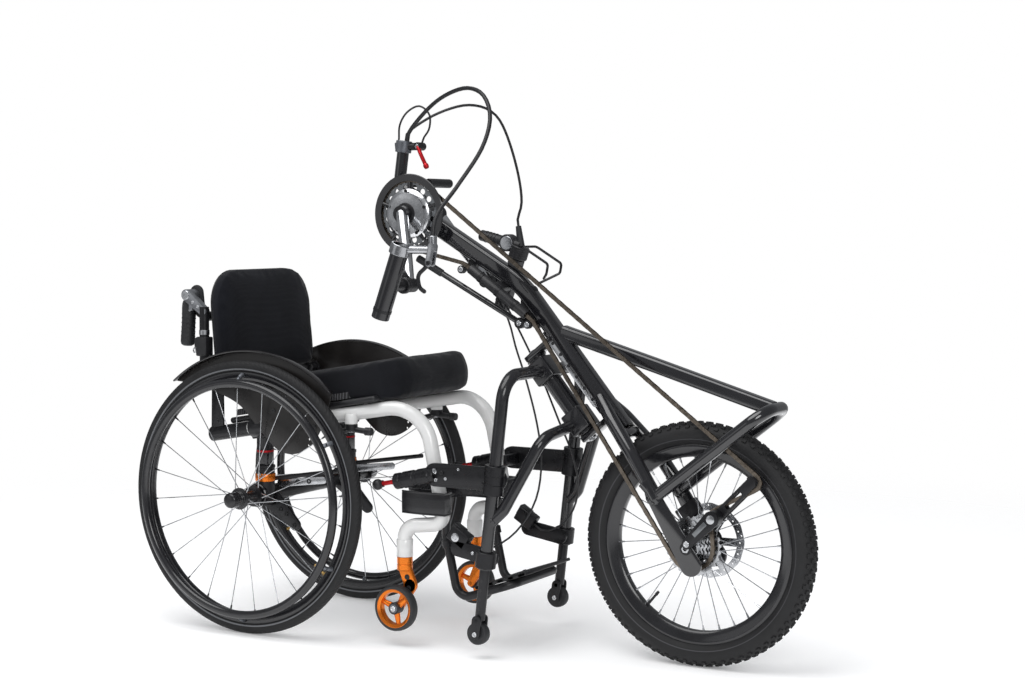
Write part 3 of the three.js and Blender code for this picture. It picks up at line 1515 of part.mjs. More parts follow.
// On the right the grip's top carries the brake lever's band and body.
function brakeMount() {
  const top = gripTop(-1);
  const way = top.clone().sub(gripLow(-1)).normalize();
  const bandLow = top.clone().addScaledVector(way, -brakeBody.bandHeight / 2);
  const bandTop = top.clone().addScaledVector(way, brakeBody.bandHeight / 2);
  const bodyAt = V(brakeBody.x, top.y, brakeBody.z);
  const half = brakeBody.length / 2;
  return join(
    bar(bandLow, bandTop, brakeBody.band, hubSteps),
    bar(top, V(bodyAt.x, bodyAt.y, top.z), brakeBody.bridge),
    bar(V(bodyAt.x, bodyAt.y, bodyAt.z - half / 2), V(bodyAt.x, bodyAt.y, bodyAt.z + half), brakeBody.radius),
    ...[-1, 1].map((way) => {
      const near = top.y + way * (brakeBlade.radius + seatClearance);
      const far = near + way * brakeBlade.cheek;
      return link(
        [brakeBlade.pivotX, brakeBlade.pivotZ],
        [bodyAt.x, bodyAt.z],
        brakeBlade.cheekRadius,
        Math.min(near, far),
        Math.max(near, far),
      );
    }),
  );
}

piece("grip_right", join(gripTube(-1, gripEnds.right), brakeMount()), paint.blackMetal);

function bladePart() {
  const y = -grip.y;
  const { pivotX, pivotZ, radius, length: reach } = brakeBlade;
  const points = [
    V(pivotX, y, pivotZ),
    V(pivotX - reach * bladeKneeShare, y, pivotZ - reach / 2),
    V(pivotX - reach / 2, y, pivotZ - reach),
    V(pivotX - reach * bladeHookShare, y, pivotZ - reach * bladeReachShare),
  ];
  const hub = bar(V(pivotX, y - radius, pivotZ), V(pivotX, y + radius, pivotZ), brakeBlade.hub, hubSteps);
  return join(hub, tube(points, radius, radius * 2, wireSides));
}

piece("brake_lever", bladePart(), paint.blackMetal);

// On the left the grip's top carries the shifter's pod and bar.
function shifterPart() {
  const y = grip.y;
  const pod = V(shifter.x, y, shifter.z);
  const low = gripLow(1);
  const seat = low.clone().lerp(gripTop(1), gripEnds.left - capPlaceShare);
  const cap = low.clone().lerp(gripTop(1), 1);
  const half = shifter.width / 2;
  return join(
    bar(seat, cap, grip.radius * capShare, hubSteps),
    bar(V(pod.x, y - half, pod.z), V(pod.x, y + half, pod.z), shifter.radius, hubSteps),
    bar(pod, V(shifterBar.x, y, shifterBar.z), shifter.barRadius),
    bar(cap, V(shifterBoot.x, y, shifterBoot.z), shifterBoot.radius, thinSides),
  );
}

piece("grip_left", join(gripTube(1, gripEnds.left), shifterPart()), paint.blackMetal);

// Cable mast: a tube behind the crank bearing, with clamp, lever perch and side bar.
const mastFoot = V(mast.baseX, 0, mast.baseZ);
const mastTop = V(mast.topX, 0, mast.topZ);

function mastPart() {
  const way = mastTop.clone().sub(mastFoot).normalize();
  const axis = V(crank.x, 0, crank.z);
  const shellStart = V(axis.x, -bearing.width, axis.z);
  const shellEnd = V(axis.x, bearing.width, axis.z);
  const shell = bar(shellStart, shellEnd, bearing.radius + seatClearance, hubSteps);
  const foot = V(crank.x - mast.foot, 0, crank.z + bearing.radius + mast.foot);
  const stemRadius = mast.radius * innerTubeShare;
  const stem = join(bar(axis, foot, stemRadius), tube([foot, mastFoot, mastTop], stemRadius, mast.foot));
  return join(
    stem.subtract(shell),
    bar(mastTop.clone().addScaledVector(way, -mast.clampHeight), mastTop, mast.clamp),
    bar(V(mast.topX, 0, perch.z), V(perch.x, 0, perch.z), perch.radius),
    bar(V(perch.x, -perch.width / 2, perch.z), V(perch.x, perch.width / 2, perch.z), perch.radius),
    bar(V(mastFoot.x, 0, sideBar.z), V(sideBar.x, 0, sideBar.z), sideBar.radius * innerTubeShare),
    bar(V(sideBar.x, -sideBar.radius, sideBar.z), V(sideBar.x, sideBar.length, sideBar.z), sideBar.radius),
  );
}

piece("cable_mast", mastPart(), paint.blackMetal);

function parkingLever() {
  const y = -perch.width / 2 - seatClearance;
  const pivot = V(perch.x, y, perch.z);
  const tip = V(parkLever.tipX, y - parkLever.knob, parkLever.tipZ);
  return join(
    bar(V(pivot.x, pivot.y - parkLever.knob, pivot.z), pivot, perch.radius),
    bar(V(pivot.x, tip.y, pivot.z), tip, parkLever.radius, wireSides),
    ball(tip, parkLever.knob, thinSides),
  );
}

piece("parking_lever", parkingLever(), paint.red);

// Lever bar: a long handle under the boom that turns on a pin in the boom's side.
function leverBarPart() {
  const y = -leverBar.y;
  const pivot = V(leverBar.pivotX, y, leverBar.pivotZ);
  const bossOuter = V(pivot.x, y - leverBar.radius, pivot.z);
  const bossInner = V(pivot.x, -yoke.width / 2 - seatClearance, pivot.z);
  return join(
    bar(V(leverBar.tipX, y, leverBar.tipZ), pivot, leverBar.radius),
    bar(bossOuter, bossInner, leverBar.boss),
  );
}

piece("lever_bar", leverBarPart(), paint.blackMetal);

// Cables, along routes chosen by hand.
const brakeCableRoute = [
  [284, -5, 1096],
  [286, -6, 1110],
  [342, -20, 1161],
  [411, -50, 1192],
  [484, -80, 1203],
  [540, -110, 1183],
  [567, -130, 1139],
  [567, -160, 1076],
  [528, -200, 991],
  [508, -244, 935],
  [506, -258, 904],
  [506, -259, 890.4],
];
const shiftCableRoute = [
  [273, 6, 1097.5],
  [275, 7, 1112],
  [308, 32, 1144],
  [345, 62, 1167],
  [378, 100, 1179],
  [404, 140, 1172],
  [421, 168, 1148],
  [437, 215, 1052],
  [434, 250, 961],
  [419, 259, 923],
  [421, 259, 908.5],
];
const parkingCableRoute = [
  [263, -7, 1098.9],
  [266, -8, 1132],
  [284, -6, 1160],
  [312, 0, 1173],
  [336, 3, 1154],
  [336, 2, 1122],
  [324, 0, 1103.4],
  [319.4, 0, 1092.2],
];
piece("brake_cable", cable(brakeCableRoute, sleeveRadius, 20), paint.rubber);
piece("shift_cable", cable(shiftCableRoute, cableRadius, 18), paint.rubber);
piece("parking_cable", cable(parkingCableRoute, thinCableRadius, 12), paint.rubber);

// Release cables of the docking clamps, held under the boom's root and at the lower clamps.
const releaseCableRoute = [
  [481, 8, 809],
  [509, 9, 768],
  [547, 12, 706],
  [573, 25, 648],
  [600, 34, 590],
  [640, 50, 485],
  [662, 72, 410],
  [662, 100, 330],
  [625, 126, 262],
  [570, 142, 227],
  [545, 144, 226],
  [529, 144, 237],
];
for (const [name, side] of sides) {
  const route = releaseCableRoute.map(([x, y, z]) => [x, side * y, z]);
  piece("release_cable_" + name, cable(route, thinCableRadius, 16), paint.rubber);
}

// Bottle cage: one bent wire on the boom.
function bottleCage() {
  const top = boom.height / 2;
  const along = V(boom.kneeX - crank.x, 0, boom.kneeZ - crank.z).normalize();
  const up = V(-along.z, 0, along.x);
  const lift = top + cage.wire + seatClearance;
  const base = V(crank.x, 0, crank.z).addScaledVector(along, cage.place).addScaledVector(up, lift);
  const at = (a, h, y) => base.clone().addScaledVector(along, a).addScaledVector(up, h).add(V(0, y, 0));
  const step = cage.width;
  const bend = cage.wire * cage.bend;
  const loop = cageShares.map(([a, h, y]) => at(step * a, step * h, step * y));
  const [endAlong, endUp] = cageEndShares;
  loop.push(at(step * endAlong, step * endUp, -bend));
  return tube(loop, cage.wire, bend, wireSides);
}

piece("bottle_cage", bottleCage(), paint.blackMetal);

// The whole handcycle, with the origin on the floor below the middle of its length.
const rearEnd = -rearTyreRadius;
const frontEnd = wheelbase + frontTyreRadius;
pieces.position.x = -(rearEnd + frontEnd) / 2;

const handcycle = new THREE.Group();
handcycle.add(pieces);

export default handcycle;
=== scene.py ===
# A handcycle: a rigid wheelchair whose front leg clamps carry a hand-cranked front wheel.
# Positions are in millimetres ahead of the rear axle, left of the middle and above the
# floor, as on the part's drawing. mm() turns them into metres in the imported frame.
import math
import bpy
from mathutils import Matrix, Vector


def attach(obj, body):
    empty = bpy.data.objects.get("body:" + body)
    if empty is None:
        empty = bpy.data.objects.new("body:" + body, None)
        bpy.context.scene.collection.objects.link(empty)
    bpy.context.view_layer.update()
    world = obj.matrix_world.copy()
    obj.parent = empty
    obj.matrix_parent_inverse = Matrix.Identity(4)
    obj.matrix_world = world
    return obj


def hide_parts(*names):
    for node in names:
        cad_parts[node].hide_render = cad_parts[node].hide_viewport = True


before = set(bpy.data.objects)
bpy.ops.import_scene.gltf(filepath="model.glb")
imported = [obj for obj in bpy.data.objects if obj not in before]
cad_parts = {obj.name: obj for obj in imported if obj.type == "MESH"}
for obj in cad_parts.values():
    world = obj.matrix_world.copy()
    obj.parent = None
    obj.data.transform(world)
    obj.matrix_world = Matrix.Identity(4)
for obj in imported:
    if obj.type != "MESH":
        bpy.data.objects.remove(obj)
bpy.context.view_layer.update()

# Studio: a camera at the photograph's place, a white floor that fades into a white
# surround, one broad lamp above and two at the sides. Mirrored rays see a darker surround,
# as if flags stood round the set, so that black coats stay black.
lens = 66.14
sensor_width = 36
camera_place = Vector((2.05769, -3.56523, 0.93252))
camera_right = Vector((0.87401349, 0.48588069, 0.00451363))
camera_up = Vector((-0.03640032, 0.05620899, 0.99775526))
camera_back = Vector((0.48453631, -0.87221586, 0.06681363))
floor_size = 30
floor_white = 0.93

bpy.ops.object.select_all(action="DESELECT")
bpy.ops.object.camera_add(location=camera_place)
camera = bpy.context.object
camera_turn = Matrix((camera_right, camera_up, camera_back)).transposed()
camera.rotation_euler = camera_turn.to_euler()
camera.data.lens = lens
camera.data.sensor_width = sensor_width
camera.data.clip_end = 100
bpy.context.scene.camera = camera
bpy.context.scene.view_settings.view_transform = "Standard"


def add_node(material, kind, inputs=None, **settings):
    """Adds a node to a material or a world, with its settings and its inputs."""
    made = material.node_tree.nodes.new("ShaderNode" + kind)
    for setting, value in settings.items():
        setattr(made, setting, value)
    for socket, value in (inputs or {}).items():
        made.inputs[socket].default_value = value
    return made


def wire(material, out_socket, in_socket):
    material.node_tree.links.new(out_socket, in_socket)


bpy.ops.mesh.primitive_grid_add(x_subdivisions=8, y_subdivisions=8, size=floor_size)
floor = bpy.context.object
floor.name = "studio_floor"
paper = bpy.data.materials.new("studio_paper")
paper.use_nodes = True
paper.node_tree.nodes.clear()
place = add_node(paper, "TexCoord")
away = add_node(paper, "VectorMath", operation="LENGTH")
fade = add_node(paper, "MapRange", {"From Min": 1.1, "From Max": 3.2}, interpolation_type="SMOOTHSTEP")
sheet = add_node(paper, "BsdfDiffuse", {"Color": (floor_white, floor_white, floor_white, 1)})
open_air = add_node(paper, "BsdfTransparent")
glow = add_node(paper, "Emission", {"Color": (0.98, 0.985, 1, 1), "Strength": 0.13})
lit_paper = add_node(paper, "AddShader")
blend = add_node(paper, "MixShader")
paper_out = add_node(paper, "OutputMaterial")
wire(paper, place.outputs["Object"], away.inputs[0])
wire(paper, away.outputs["Value"], fade.inputs["Value"])
wire(paper, fade.outputs["Result"], blend.inputs["Fac"])
wire(paper, sheet.outputs[0], lit_paper.inputs[0])
wire(paper, glow.outputs[0], lit_paper.inputs[1])
wire(paper, lit_paper.outputs[0], blend.inputs[1])
wire(paper, open_air.outputs[0], blend.inputs[2])
wire(paper, blend.outputs[0], paper_out.inputs["Surface"])
floor.data.materials.append(paper)

world = bpy.data.worlds.new("white_surround")
bpy.context.scene.world = world
world.use_nodes = True
world.node_tree.nodes.clear()
rays = add_node(world, "LightPath")
through = add_node(world, "Math", operation="MAXIMUM")
lit = add_node(world, "Background", {"Color": (0.97, 0.98, 1, 1), "Strength": 0.7})
flagged = add_node(world, "Background", {"Color": (0.95, 0.97, 1, 1), "Strength": 0.24})
mirrored = add_node(world, "MixShader")
white = add_node(world, "Background", {"Color": (1, 1, 1, 1), "Strength": 1})
choice = add_node(world, "MixShader")
world_out = add_node(world, "OutputWorld")
wire(world, rays.outputs["Is Glossy Ray"], mirrored.inputs["Fac"])
wire(world, lit.outputs[0], mirrored.inputs[1])
wire(world, flagged.outputs[0], mirrored.inputs[2])
wire(world, rays.outputs["Is Camera Ray"], through.inputs[0])
wire(world, rays.outputs["Is Transmission Ray"], through.inputs[1])
wire(world, through.outputs[0], choice.inputs["Fac"])
wire(world, mirrored.outputs[0], choice.inputs[1])
wire(world, white.outputs[0], choice.inputs[2])
wire(world, choice.outputs[0], world_out.inputs["Surface"])

for name, spot, aim, wide, power in (
    ("lamp_above", (-0.6, -1.4, 3.6), (0, 0, 0.4), 3.4, 84),
    ("lamp_front", (3.0, -3.4, 2.2), (0, 0, 0.5), 2.2, 58),
    ("lamp_side", (-2.6, -3.8, 1.2), (0, 0, 0.7), 2.4, 7),
):
    bpy.ops.object.light_add(type="AREA", location=spot)
    lamp = bpy.context.object
    lamp.name = name
    lamp.data.shape = "DISK"
    lamp.data.size = wide
    lamp.data.energy = power
    look = Vector(aim) - Vector(spot)
    lamp.rotation_euler = look.to_track_quat("-Z", "Y").to_euler()

# Control cables: black plastic sleeves over wire. Three rise from the mast and the perch in
# wide arcs to the brake lever, the shifter and the parking lever's perch. Two thin ones run
# from under the boom to the lower clamps. Their ends sit in the housings.
origin_ahead = 473.5
sides = (("right", -1), ("left", 1))
sleeve_black = (0.012, 0.012, 0.014)
thin_sleeve = 2.2


def mm(x, y, z):
    return Vector(((x - origin_ahead) / 1000, y / 1000, z / 1000))


def polar(x, z, reach, angle):
    """The spot in X and Z at a distance and an angle from another."""
    return x + reach * math.cos(angle), z + reach * math.sin(angle)


def around(centre, reach, angle, y):
    """The same in space, at its own distance from the middle."""
    x, z = polar(centre[0], centre[-1], reach, angle)
    return x, y, z


def noise_group():
    """Slow and fine noise over a surface: cloudy dirt as a mask, and fine grain."""
    group = bpy.data.node_groups.new("surface_variation", "ShaderNodeTree")
    side = group.interface
    for label, value in (("Cloud Scale", 20.0), ("Grain Scale", 900.0)):
        socket = side.new_socket(label, in_out="INPUT", socket_type="NodeSocketFloat")
        socket.default_value = value
    side.new_socket("Cloud", in_out="OUTPUT", socket_type="NodeSocketFloat")
    side.new_socket("Grain", in_out="OUTPUT", socket_type="NodeSocketFloat")
    made = group.nodes
    start = made.new("NodeGroupInput")
    end = made.new("NodeGroupOutput")
    where = made.new("ShaderNodeTexCoord")
    cloud = made.new("ShaderNodeTexNoise")
    cloud.inputs["Detail"].default_value = 6
    cloud.inputs["Roughness"].default_value = 0.62
    grain = made.new("ShaderNodeTexNoise")
    grain.inputs["Detail"].default_value = 3
    group.links.new(where.outputs["Object"], cloud.inputs["Vector"])
    group.links.new(where.outputs["Object"], grain.inputs["Vector"])
    group.links.new(start.outputs["Cloud Scale"], cloud.inputs["Scale"])
    group.links.new(start.outputs["Grain Scale"], grain.inputs["Scale"])
    group.links.new(cloud.outputs["Fac"], end.inputs["Cloud"])
    group.links.new(grain.outputs["Fac"], end.inputs["Grain"])
    return group


surface_variation = noise_group()


def finish(name, colour, roughness, metallic=0, coat=0, cloud=20, grain=900, depth=0.05, spread=0.12,
           tint=0.3, specular=0.5, sheen=0):
    """A coating whose roughness and colour drift over the surface, with a fine grain in relief."""
    material = bpy.data.materials.new(name)
    material.use_nodes = True
    shader = material.node_tree.nodes["Principled BSDF"]
    for socket, value in (("Metallic", metallic), ("Coat Weight", coat), ("Coat Roughness", 0.05),
                          ("Specular IOR Level", specular), ("Sheen Weight", sheen),
                          ("Sheen Roughness", 0.4)):
        shader.inputs[socket].default_value = value
    drift = add_node(material, "Group", {"Cloud Scale": cloud, "Grain Scale": grain},
                     node_tree=surface_variation)
    rough = add_node(material, "MapRange", {"From Min": 0.3, "From Max": 0.7,
        "To Max": roughness + spread / 2, "To Min": max(0.03, roughness - spread / 2)})
    shades = add_node(material, "ValToRGB")
    dark = [c * (1 - tint) for c in colour]
    light = [min(1, c * (1 + tint * 0.5) + 0.004 * tint) for c in colour]
    for shade, position, colours in zip(shades.color_ramp.elements, (0.3, 0.72), (dark, light)):
        shade.position = position
        shade.color = (*colours, 1)
    relief = add_node(material, "Bump", {"Strength": depth, "Distance": 0.001})
    wire(material, drift.outputs["Cloud"], rough.inputs["Value"])
    wire(material, rough.outputs["Result"], shader.inputs["Roughness"])
    wire(material, drift.outputs["Cloud"], shades.inputs["Fac"])
    wire(material, shades.outputs["Color"], shader.inputs["Base Color"])
    wire(material, drift.outputs["Grain"], relief.inputs["Height"])
    wire(material, relief.outputs["Normal"], shader.inputs["Normal"])
    return material


cable_sleeve = finish("cable_sleeve", sleeve_black, 0.42, cloud=60, grain=1600, depth=0.08)


def smooth_line(points, count):
    """Points on one smooth curve through given ones, evenly spaced."""
    spots = [Vector(p) for p in points]
    spots = [spots[0] * 2 - spots[1]] + spots + [spots[-1] * 2 - spots[-2]]
    fine = []
    for i in range(1, len(spots) - 2):
        p0, p1, p2, p3 = spots[i - 1:i + 3]
        t0 = 0
        t1 = t0 + (p1 - p0).length ** 0.5
        t2 = t1 + (p2 - p1).length ** 0.5
        t3 = t2 + (p3 - p2).length ** 0.5
        for k in range(24):
            t = t1 + (t2 - t1) * k / 24
            a1 = p0 * ((t1 - t) / (t1 - t0)) + p1 * ((t - t0) / (t1 - t0))
            a2 = p1 * ((t2 - t) / (t2 - t1)) + p2 * ((t - t1) / (t2 - t1))
            a3 = p2 * ((t3 - t) / (t3 - t2)) + p3 * ((t - t2) / (t3 - t2))
            b1 = a1 * ((t2 - t) / (t2 - t0)) + a2 * ((t - t0) / (t2 - t0))
            b2 = a2 * ((t3 - t) / (t3 - t1)) + a3 * ((t - t1) / (t3 - t1))
            fine.append(b1 * ((t2 - t) / (t2 - t1)) + b2 * ((t - t1) / (t2 - t1)))
    fine.append(spots[-2])
    reach = [0]
    for a, b in zip(fine, fine[1:]):
        reach.append(reach[-1] + (b - a).length)
    line = []
    j = 0
    for k in range(count + 1):
        want = reach[-1] * k / count
        while j < len(reach) - 2 and reach[j + 1] < want:
            j += 1
        share = (want - reach[j]) / max(1e-9, reach[j + 1] - reach[j])
        line.append(fine[j].lerp(fine[j + 1], min(1, max(0, share))))
    return line


def tube_along(line, radius, resolution):
    """A round tube as a curve, with closed ends."""
    bpy.ops.curve.primitive_nurbs_path_add()
    path = bpy.context.object
    path.data.splines.clear()
    run = path.data.splines.new("POLY")
    run.points.add(len(line) - 1)
    for point, spot in zip(run.points, line):
        point.co = (*spot, 1)
    path.data.bevel_depth = radius / 1000
    path.data.bevel_resolution = resolution
    path.data.use_fill_caps = True
    return path


def sleeve(name, route, radius, node, body, count=36):
    """A cable's sleeve: a round tube along a route, in place of the part's cable."""
    line = [mm(*p) for p in smooth_line(route, count)]
    cable = tube_along(line, radius, 3)
    cable.name = name
    cable.data.materials.append(cable_sleeve)
    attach(cable, body)
    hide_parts(node)


brake_route = [
    (284, -5, 1096), (286, -6, 1110), (342, -20, 1161), (411, -50, 1192), (484, -80, 1203),
    (540, -110, 1183), (567, -130, 1139), (567, -160, 1076), (528, -200, 991), (508, -244, 935),
    (506, -258, 904), (506, -259, 890.4),
]
shift_route = [
    (273, 6, 1097.5), (275, 7, 1112), (308, 32, 1144), (345, 62, 1167), (378, 100, 1179), (404, 140, 1172),
    (421, 168, 1148), (437, 215, 1052), (434, 250, 961), (419, 259, 923), (421, 259, 908.5),
]
parking_route = [
    (263, -7, 1098.9), (266, -8, 1132), (284, -6, 1160), (312, 0, 1173), (336, 3, 1154), (336, 2, 1122),
    (324, 0, 1103.4), (319.4, 0, 1092.2),
]
release_route = [
    (481, 8, 809), (509, 9, 768), (547, 12, 706), (573, 25, 648), (600, 34, 590), (640, 50, 485),
    (662, 72, 410), (662, 100, 330), (625, 126, 262), (570, 142, 227), (545, 144, 226), (529, 144, 237),
]
sleeve("brake_cable_sleeve", brake_route, 4.5, "brake_cable", "front", 40)
sleeve("shift_cable_sleeve", shift_route, 3, "shift_cable", "front")
sleeve("parking_cable_sleeve", parking_route, thin_sleeve, "parking_cable", "front", 30)
for side, sign in sides:
    route = [(x, sign * y, z) for x, y, z in release_route]
    sleeve("release_cable_sleeve_" + side, route, thin_sleeve, "release_cable_" + side, "chair")

# Rear wheels: a hollow black aluminium rim, laced with silver steel spokes to a turned hub
# with a domed cap. The quick-release pin plugs into the axle tube.
axle_z = 305
half_track = 222.5
weld_reach = 0.00002
rim_black = (0.011, 0.011, 0.013)
spoke_silver = (0.56, 0.57, 0.59)
gloss_black = finish("gloss_black_enamel", rim_black, 0.2, coat=0.35, cloud=14, grain=500, depth=0.02,
                     spread=0.08)
satin_black = finish("satin_black_anodising", (0.014, 0.014, 0.016), 0.36, metallic=0.3, cloud=30,
                     depth=0.06)
bright_steel = finish("bright_steel", spoke_silver, 0.24, metallic=1, cloud=70, grain=1400, depth=0.05)
brass = finish("valve_brass", (0.55, 0.36, 0.13), 0.3, metallic=1, cloud=90)


def only(*objects):
    """Selects these objects and nothing else."""
    if bpy.context.object and bpy.context.object.mode != "OBJECT":
        bpy.ops.object.mode_set(mode="OBJECT")
    bpy.ops.object.select_all(action="DESELECT")
    for piece in objects:
        piece.select_set(True)
    bpy.context.view_layer.objects.active = objects[0]
    return objects[0]


def modified(piece, kind, **settings):
    """Applies one modifier with these settings."""
    only(piece)
    bpy.ops.object.modifier_add(type=kind)
    made = piece.modifiers[-1]
    for setting, value in settings.items():
        setattr(made, setting, value)
    bpy.ops.object.modifier_apply(modifier=made.name)
    return piece


def cleaned(piece, weld=True, caps=False):
    """Welds doubled points, closes open ends and turns all faces out."""
    bpy.ops.object.mode_set(mode="EDIT")
    bpy.ops.mesh.select_all(action="SELECT")
    if weld:
        bpy.ops.mesh.remove_doubles(threshold=weld_reach)
    if caps:
        bpy.ops.mesh.fill_holes(sides=0)
    bpy.ops.mesh.normals_make_consistent(inside=False)
    bpy.ops.object.mode_set(mode="OBJECT")
    return piece


def ring_section(radius, tube, count, along=0):
    """The round section of a ring, for turning."""
    angles = [2 * math.pi * k / count for k in range(count)]
    return [(radius + tube * math.cos(a), along + tube * math.sin(a)) for a in angles]


def turned(profile, centre, axis=(0, 1, 0), steps=96, out=None, degrees=360):
    """A closed profile of (radius, distance along the axis), spun round it."""
    axis = Vector(axis).normalized()
    out = Vector(out) if out else (Vector((1, 0, 0)) if abs(axis.x) < 0.5 else Vector((0, 0, 1)))
    out = (out - axis * out.dot(axis)).normalized()
    centre = mm(*centre)
    bpy.ops.mesh.primitive_circle_add(vertices=len(profile), radius=0.01)
    piece = bpy.context.object
    for vertex, (radius, along) in zip(piece.data.vertices, profile):
        vertex.co = centre + out * (radius / 1000) + axis * (along / 1000)
    piece.matrix_world = Matrix()
    bpy.ops.object.mode_set(mode="EDIT")
    bpy.ops.mesh.select_all(action="SELECT")
    if degrees < 360:
        bpy.ops.mesh.edge_face_add()
    bpy.ops.mesh.spin(steps=steps, angle=math.radians(degrees), center=centre, axis=axis)
    bpy.ops.object.mode_set(mode="OBJECT")
    return cleaned(piece)


def rod(start, end, radius, end_radius=None, sides=20, edge=0):
    """A round bar or taper between two points."""
    start, end = mm(*start), mm(*end)
    way = end - start
    bpy.ops.mesh.primitive_cone_add(
        vertices=sides, radius1=radius / 1000,
        radius2=(radius if end_radius is None else end_radius) / 1000, depth=way.length,
        location=(start + end) / 2, rotation=way.to_track_quat("Z", "Y").to_euler())
    bpy.ops.object.transform_apply(location=True, rotation=True, scale=True)
    piece = bpy.context.object
    if edge:
        soften(piece, edge)
    return piece


def soften(piece, width, segments=2, angle=40):
    """Rounds a piece's sharp edges to a width in millimetres."""
    return modified(piece, "BEVEL", width=width / 1000, segments=segments, limit_method="ANGLE",
                    angle_limit=math.radians(angle))


def coated(piece, coat):
    piece.data.materials.clear()
    piece.data.materials.append(coat)
    return piece


def together(*parts):
    parts = [p for p in parts if p]
    only(*parts)
    if len(parts) > 1:
        bpy.ops.object.join()
    return parts[0]


def fitted(piece, name, coat, body, *nodes, angle=32):
    """Names a finished piece, shades and coats it, and hangs it on its body."""
    only(piece)
    piece.name = name
    piece.data.name = name
    bpy.ops.object.shade_smooth_by_angle(angle=math.radians(angle))
    if coat:
        coated(piece, coat)
    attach(piece, body)
    if nodes:
        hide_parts(*nodes)
    return piece


def about(centre, degrees, axis="Y"):
    spot = mm(*centre)
    return Matrix.Translation(spot) @ Matrix.Rotation(math.radians(degrees), 4,
        axis) @ Matrix.Translation(-spot)


def laced(centre, count, hub_radius, rim_radius, cross, spread, colour, nipple_length=13):
    """Straight spokes in crossed pairs between the hub's flanges and the rim, with their nipples."""
    spokes, nipples = [], []
    for i in range(count):
        at_rim = 2 * math.pi * (i + 1 / 3) / count
        at_hub = at_rim + math.radians(cross) * (1 if (i // 2) % 2 else -1)
        y = centre[1] + (1 if i % 2 else -1) * spread / 2
        inner = (centre[0] + hub_radius * math.cos(at_hub), y, centre[2] + hub_radius * math.sin(at_hub))
        outer = (centre[0] + rim_radius * math.cos(at_rim), centre[1],
                 centre[2] + rim_radius * math.sin(at_rim))
        spokes.append(rod(inner, outer, 1.05, sides=8))
        share = nipple_length / math.dist(inner, outer)
        seat = [o + (i - o) * share for i, o in zip(inner, outer)]
        nipples.append(rod(outer, seat, 2.5, 1.7, sides=8))
        bend = (inner[0], inner[1] + (2.5 if i % 2 else -2.5), inner[2])
        spokes.append(rod(inner, bend, 1.9, 2.3, sides=8))
    return coated(together(*spokes), bright_steel), coated(together(*nipples), colour)


def tyre_rubber(name, centre, tread, block_count, rows, band=None, black=(0.012, 0.012, 0.013), depth=0.6):
    """Rubber with a tread pattern round the wheel's axle, from the angle and the distance out."""
    material = finish(name, black, 0.62, cloud=26, grain=1300, depth=0.12, spread=0.2, specular=0.35)
    made = material.node_tree.nodes
    shader = made["Principled BSDF"]
    where = add_node(material, "TexCoord")
    shift = add_node(material, "Mapping", {"Location": tuple(-c for c in mm(*centre))})
    parts = add_node(material, "SeparateXYZ")
    wire(material, where.outputs["Object"], shift.inputs["Vector"])
    wire(material, shift.outputs["Vector"], parts.inputs[0])

    def sums(kind, a, b=None):
        step = add_node(material, "Math", operation=kind)
        for slot, value in ((0, a), (1, b)):
            if isinstance(value, (int, float)):
                step.inputs[slot].default_value = value
            elif value is not None:
                wire(material, value, step.inputs[slot])
        return step.outputs[0]

    def fades(value, low, high):
        fade = add_node(material, "MapRange", {"From Min": low, "From Max": high})
        wire(material, value, fade.inputs["Value"])
        return fade.outputs["Result"]

    out = sums("SQRT", sums("ADD", sums("POWER", parts.outputs["X"], 2),
                            sums("POWER", parts.outputs["Z"], 2)))
    angle = sums("ARCTAN2", parts.outputs["Z"], parts.outputs["X"])
    skew = sums("MULTIPLY", sums("ABSOLUTE", parts.outputs["Y"]), rows)
    wave = sums("SINE", sums("ADD", sums("MULTIPLY", angle, block_count), skew))
    outside = fades(out, (tread - 3) / 1000, (tread + 1) / 1000)
    height = sums("MULTIPLY", fades(wave, -0.35, 0.35), outside)
    relief = add_node(material, "Bump", {"Strength": depth, "Distance": 0.0012})
    wire(material, height, relief.inputs["Height"])
    grain = next(n for n in made if n.type == "BUMP" and n != relief)
    wire(material, grain.outputs["Normal"], relief.inputs["Normal"])
    wire(material, relief.outputs["Normal"], shader.inputs["Normal"])
    if band:
        inner, outer, colour = band
        rise = fades(out, (inner - 0.5) / 1000, (inner + 0.5) / 1000)
        fall = fades(out, (outer + 0.5) / 1000, (outer - 0.5) / 1000)
        ring = sums("MULTIPLY", rise, fall)
        paint = add_node(material, "Mix", data_type="RGBA")
        shades = next(n for n in made if n.type == "VALTORGB")
        wire(material, ring, paint.inputs["Factor"])
        wire(material, shades.outputs["Color"], paint.inputs["A"])
        paint.inputs["B"].default_value = (*colour, 1)
        wire(material, paint.outputs["Result"], shader.inputs["Base Color"])
    return material


def mirrored(half, *middle):
    """A section that is the same on both sides, as (radius, sideways) points."""
    return half + list(middle) + [(radius, -sideways) for radius, sideways in reversed(half)]


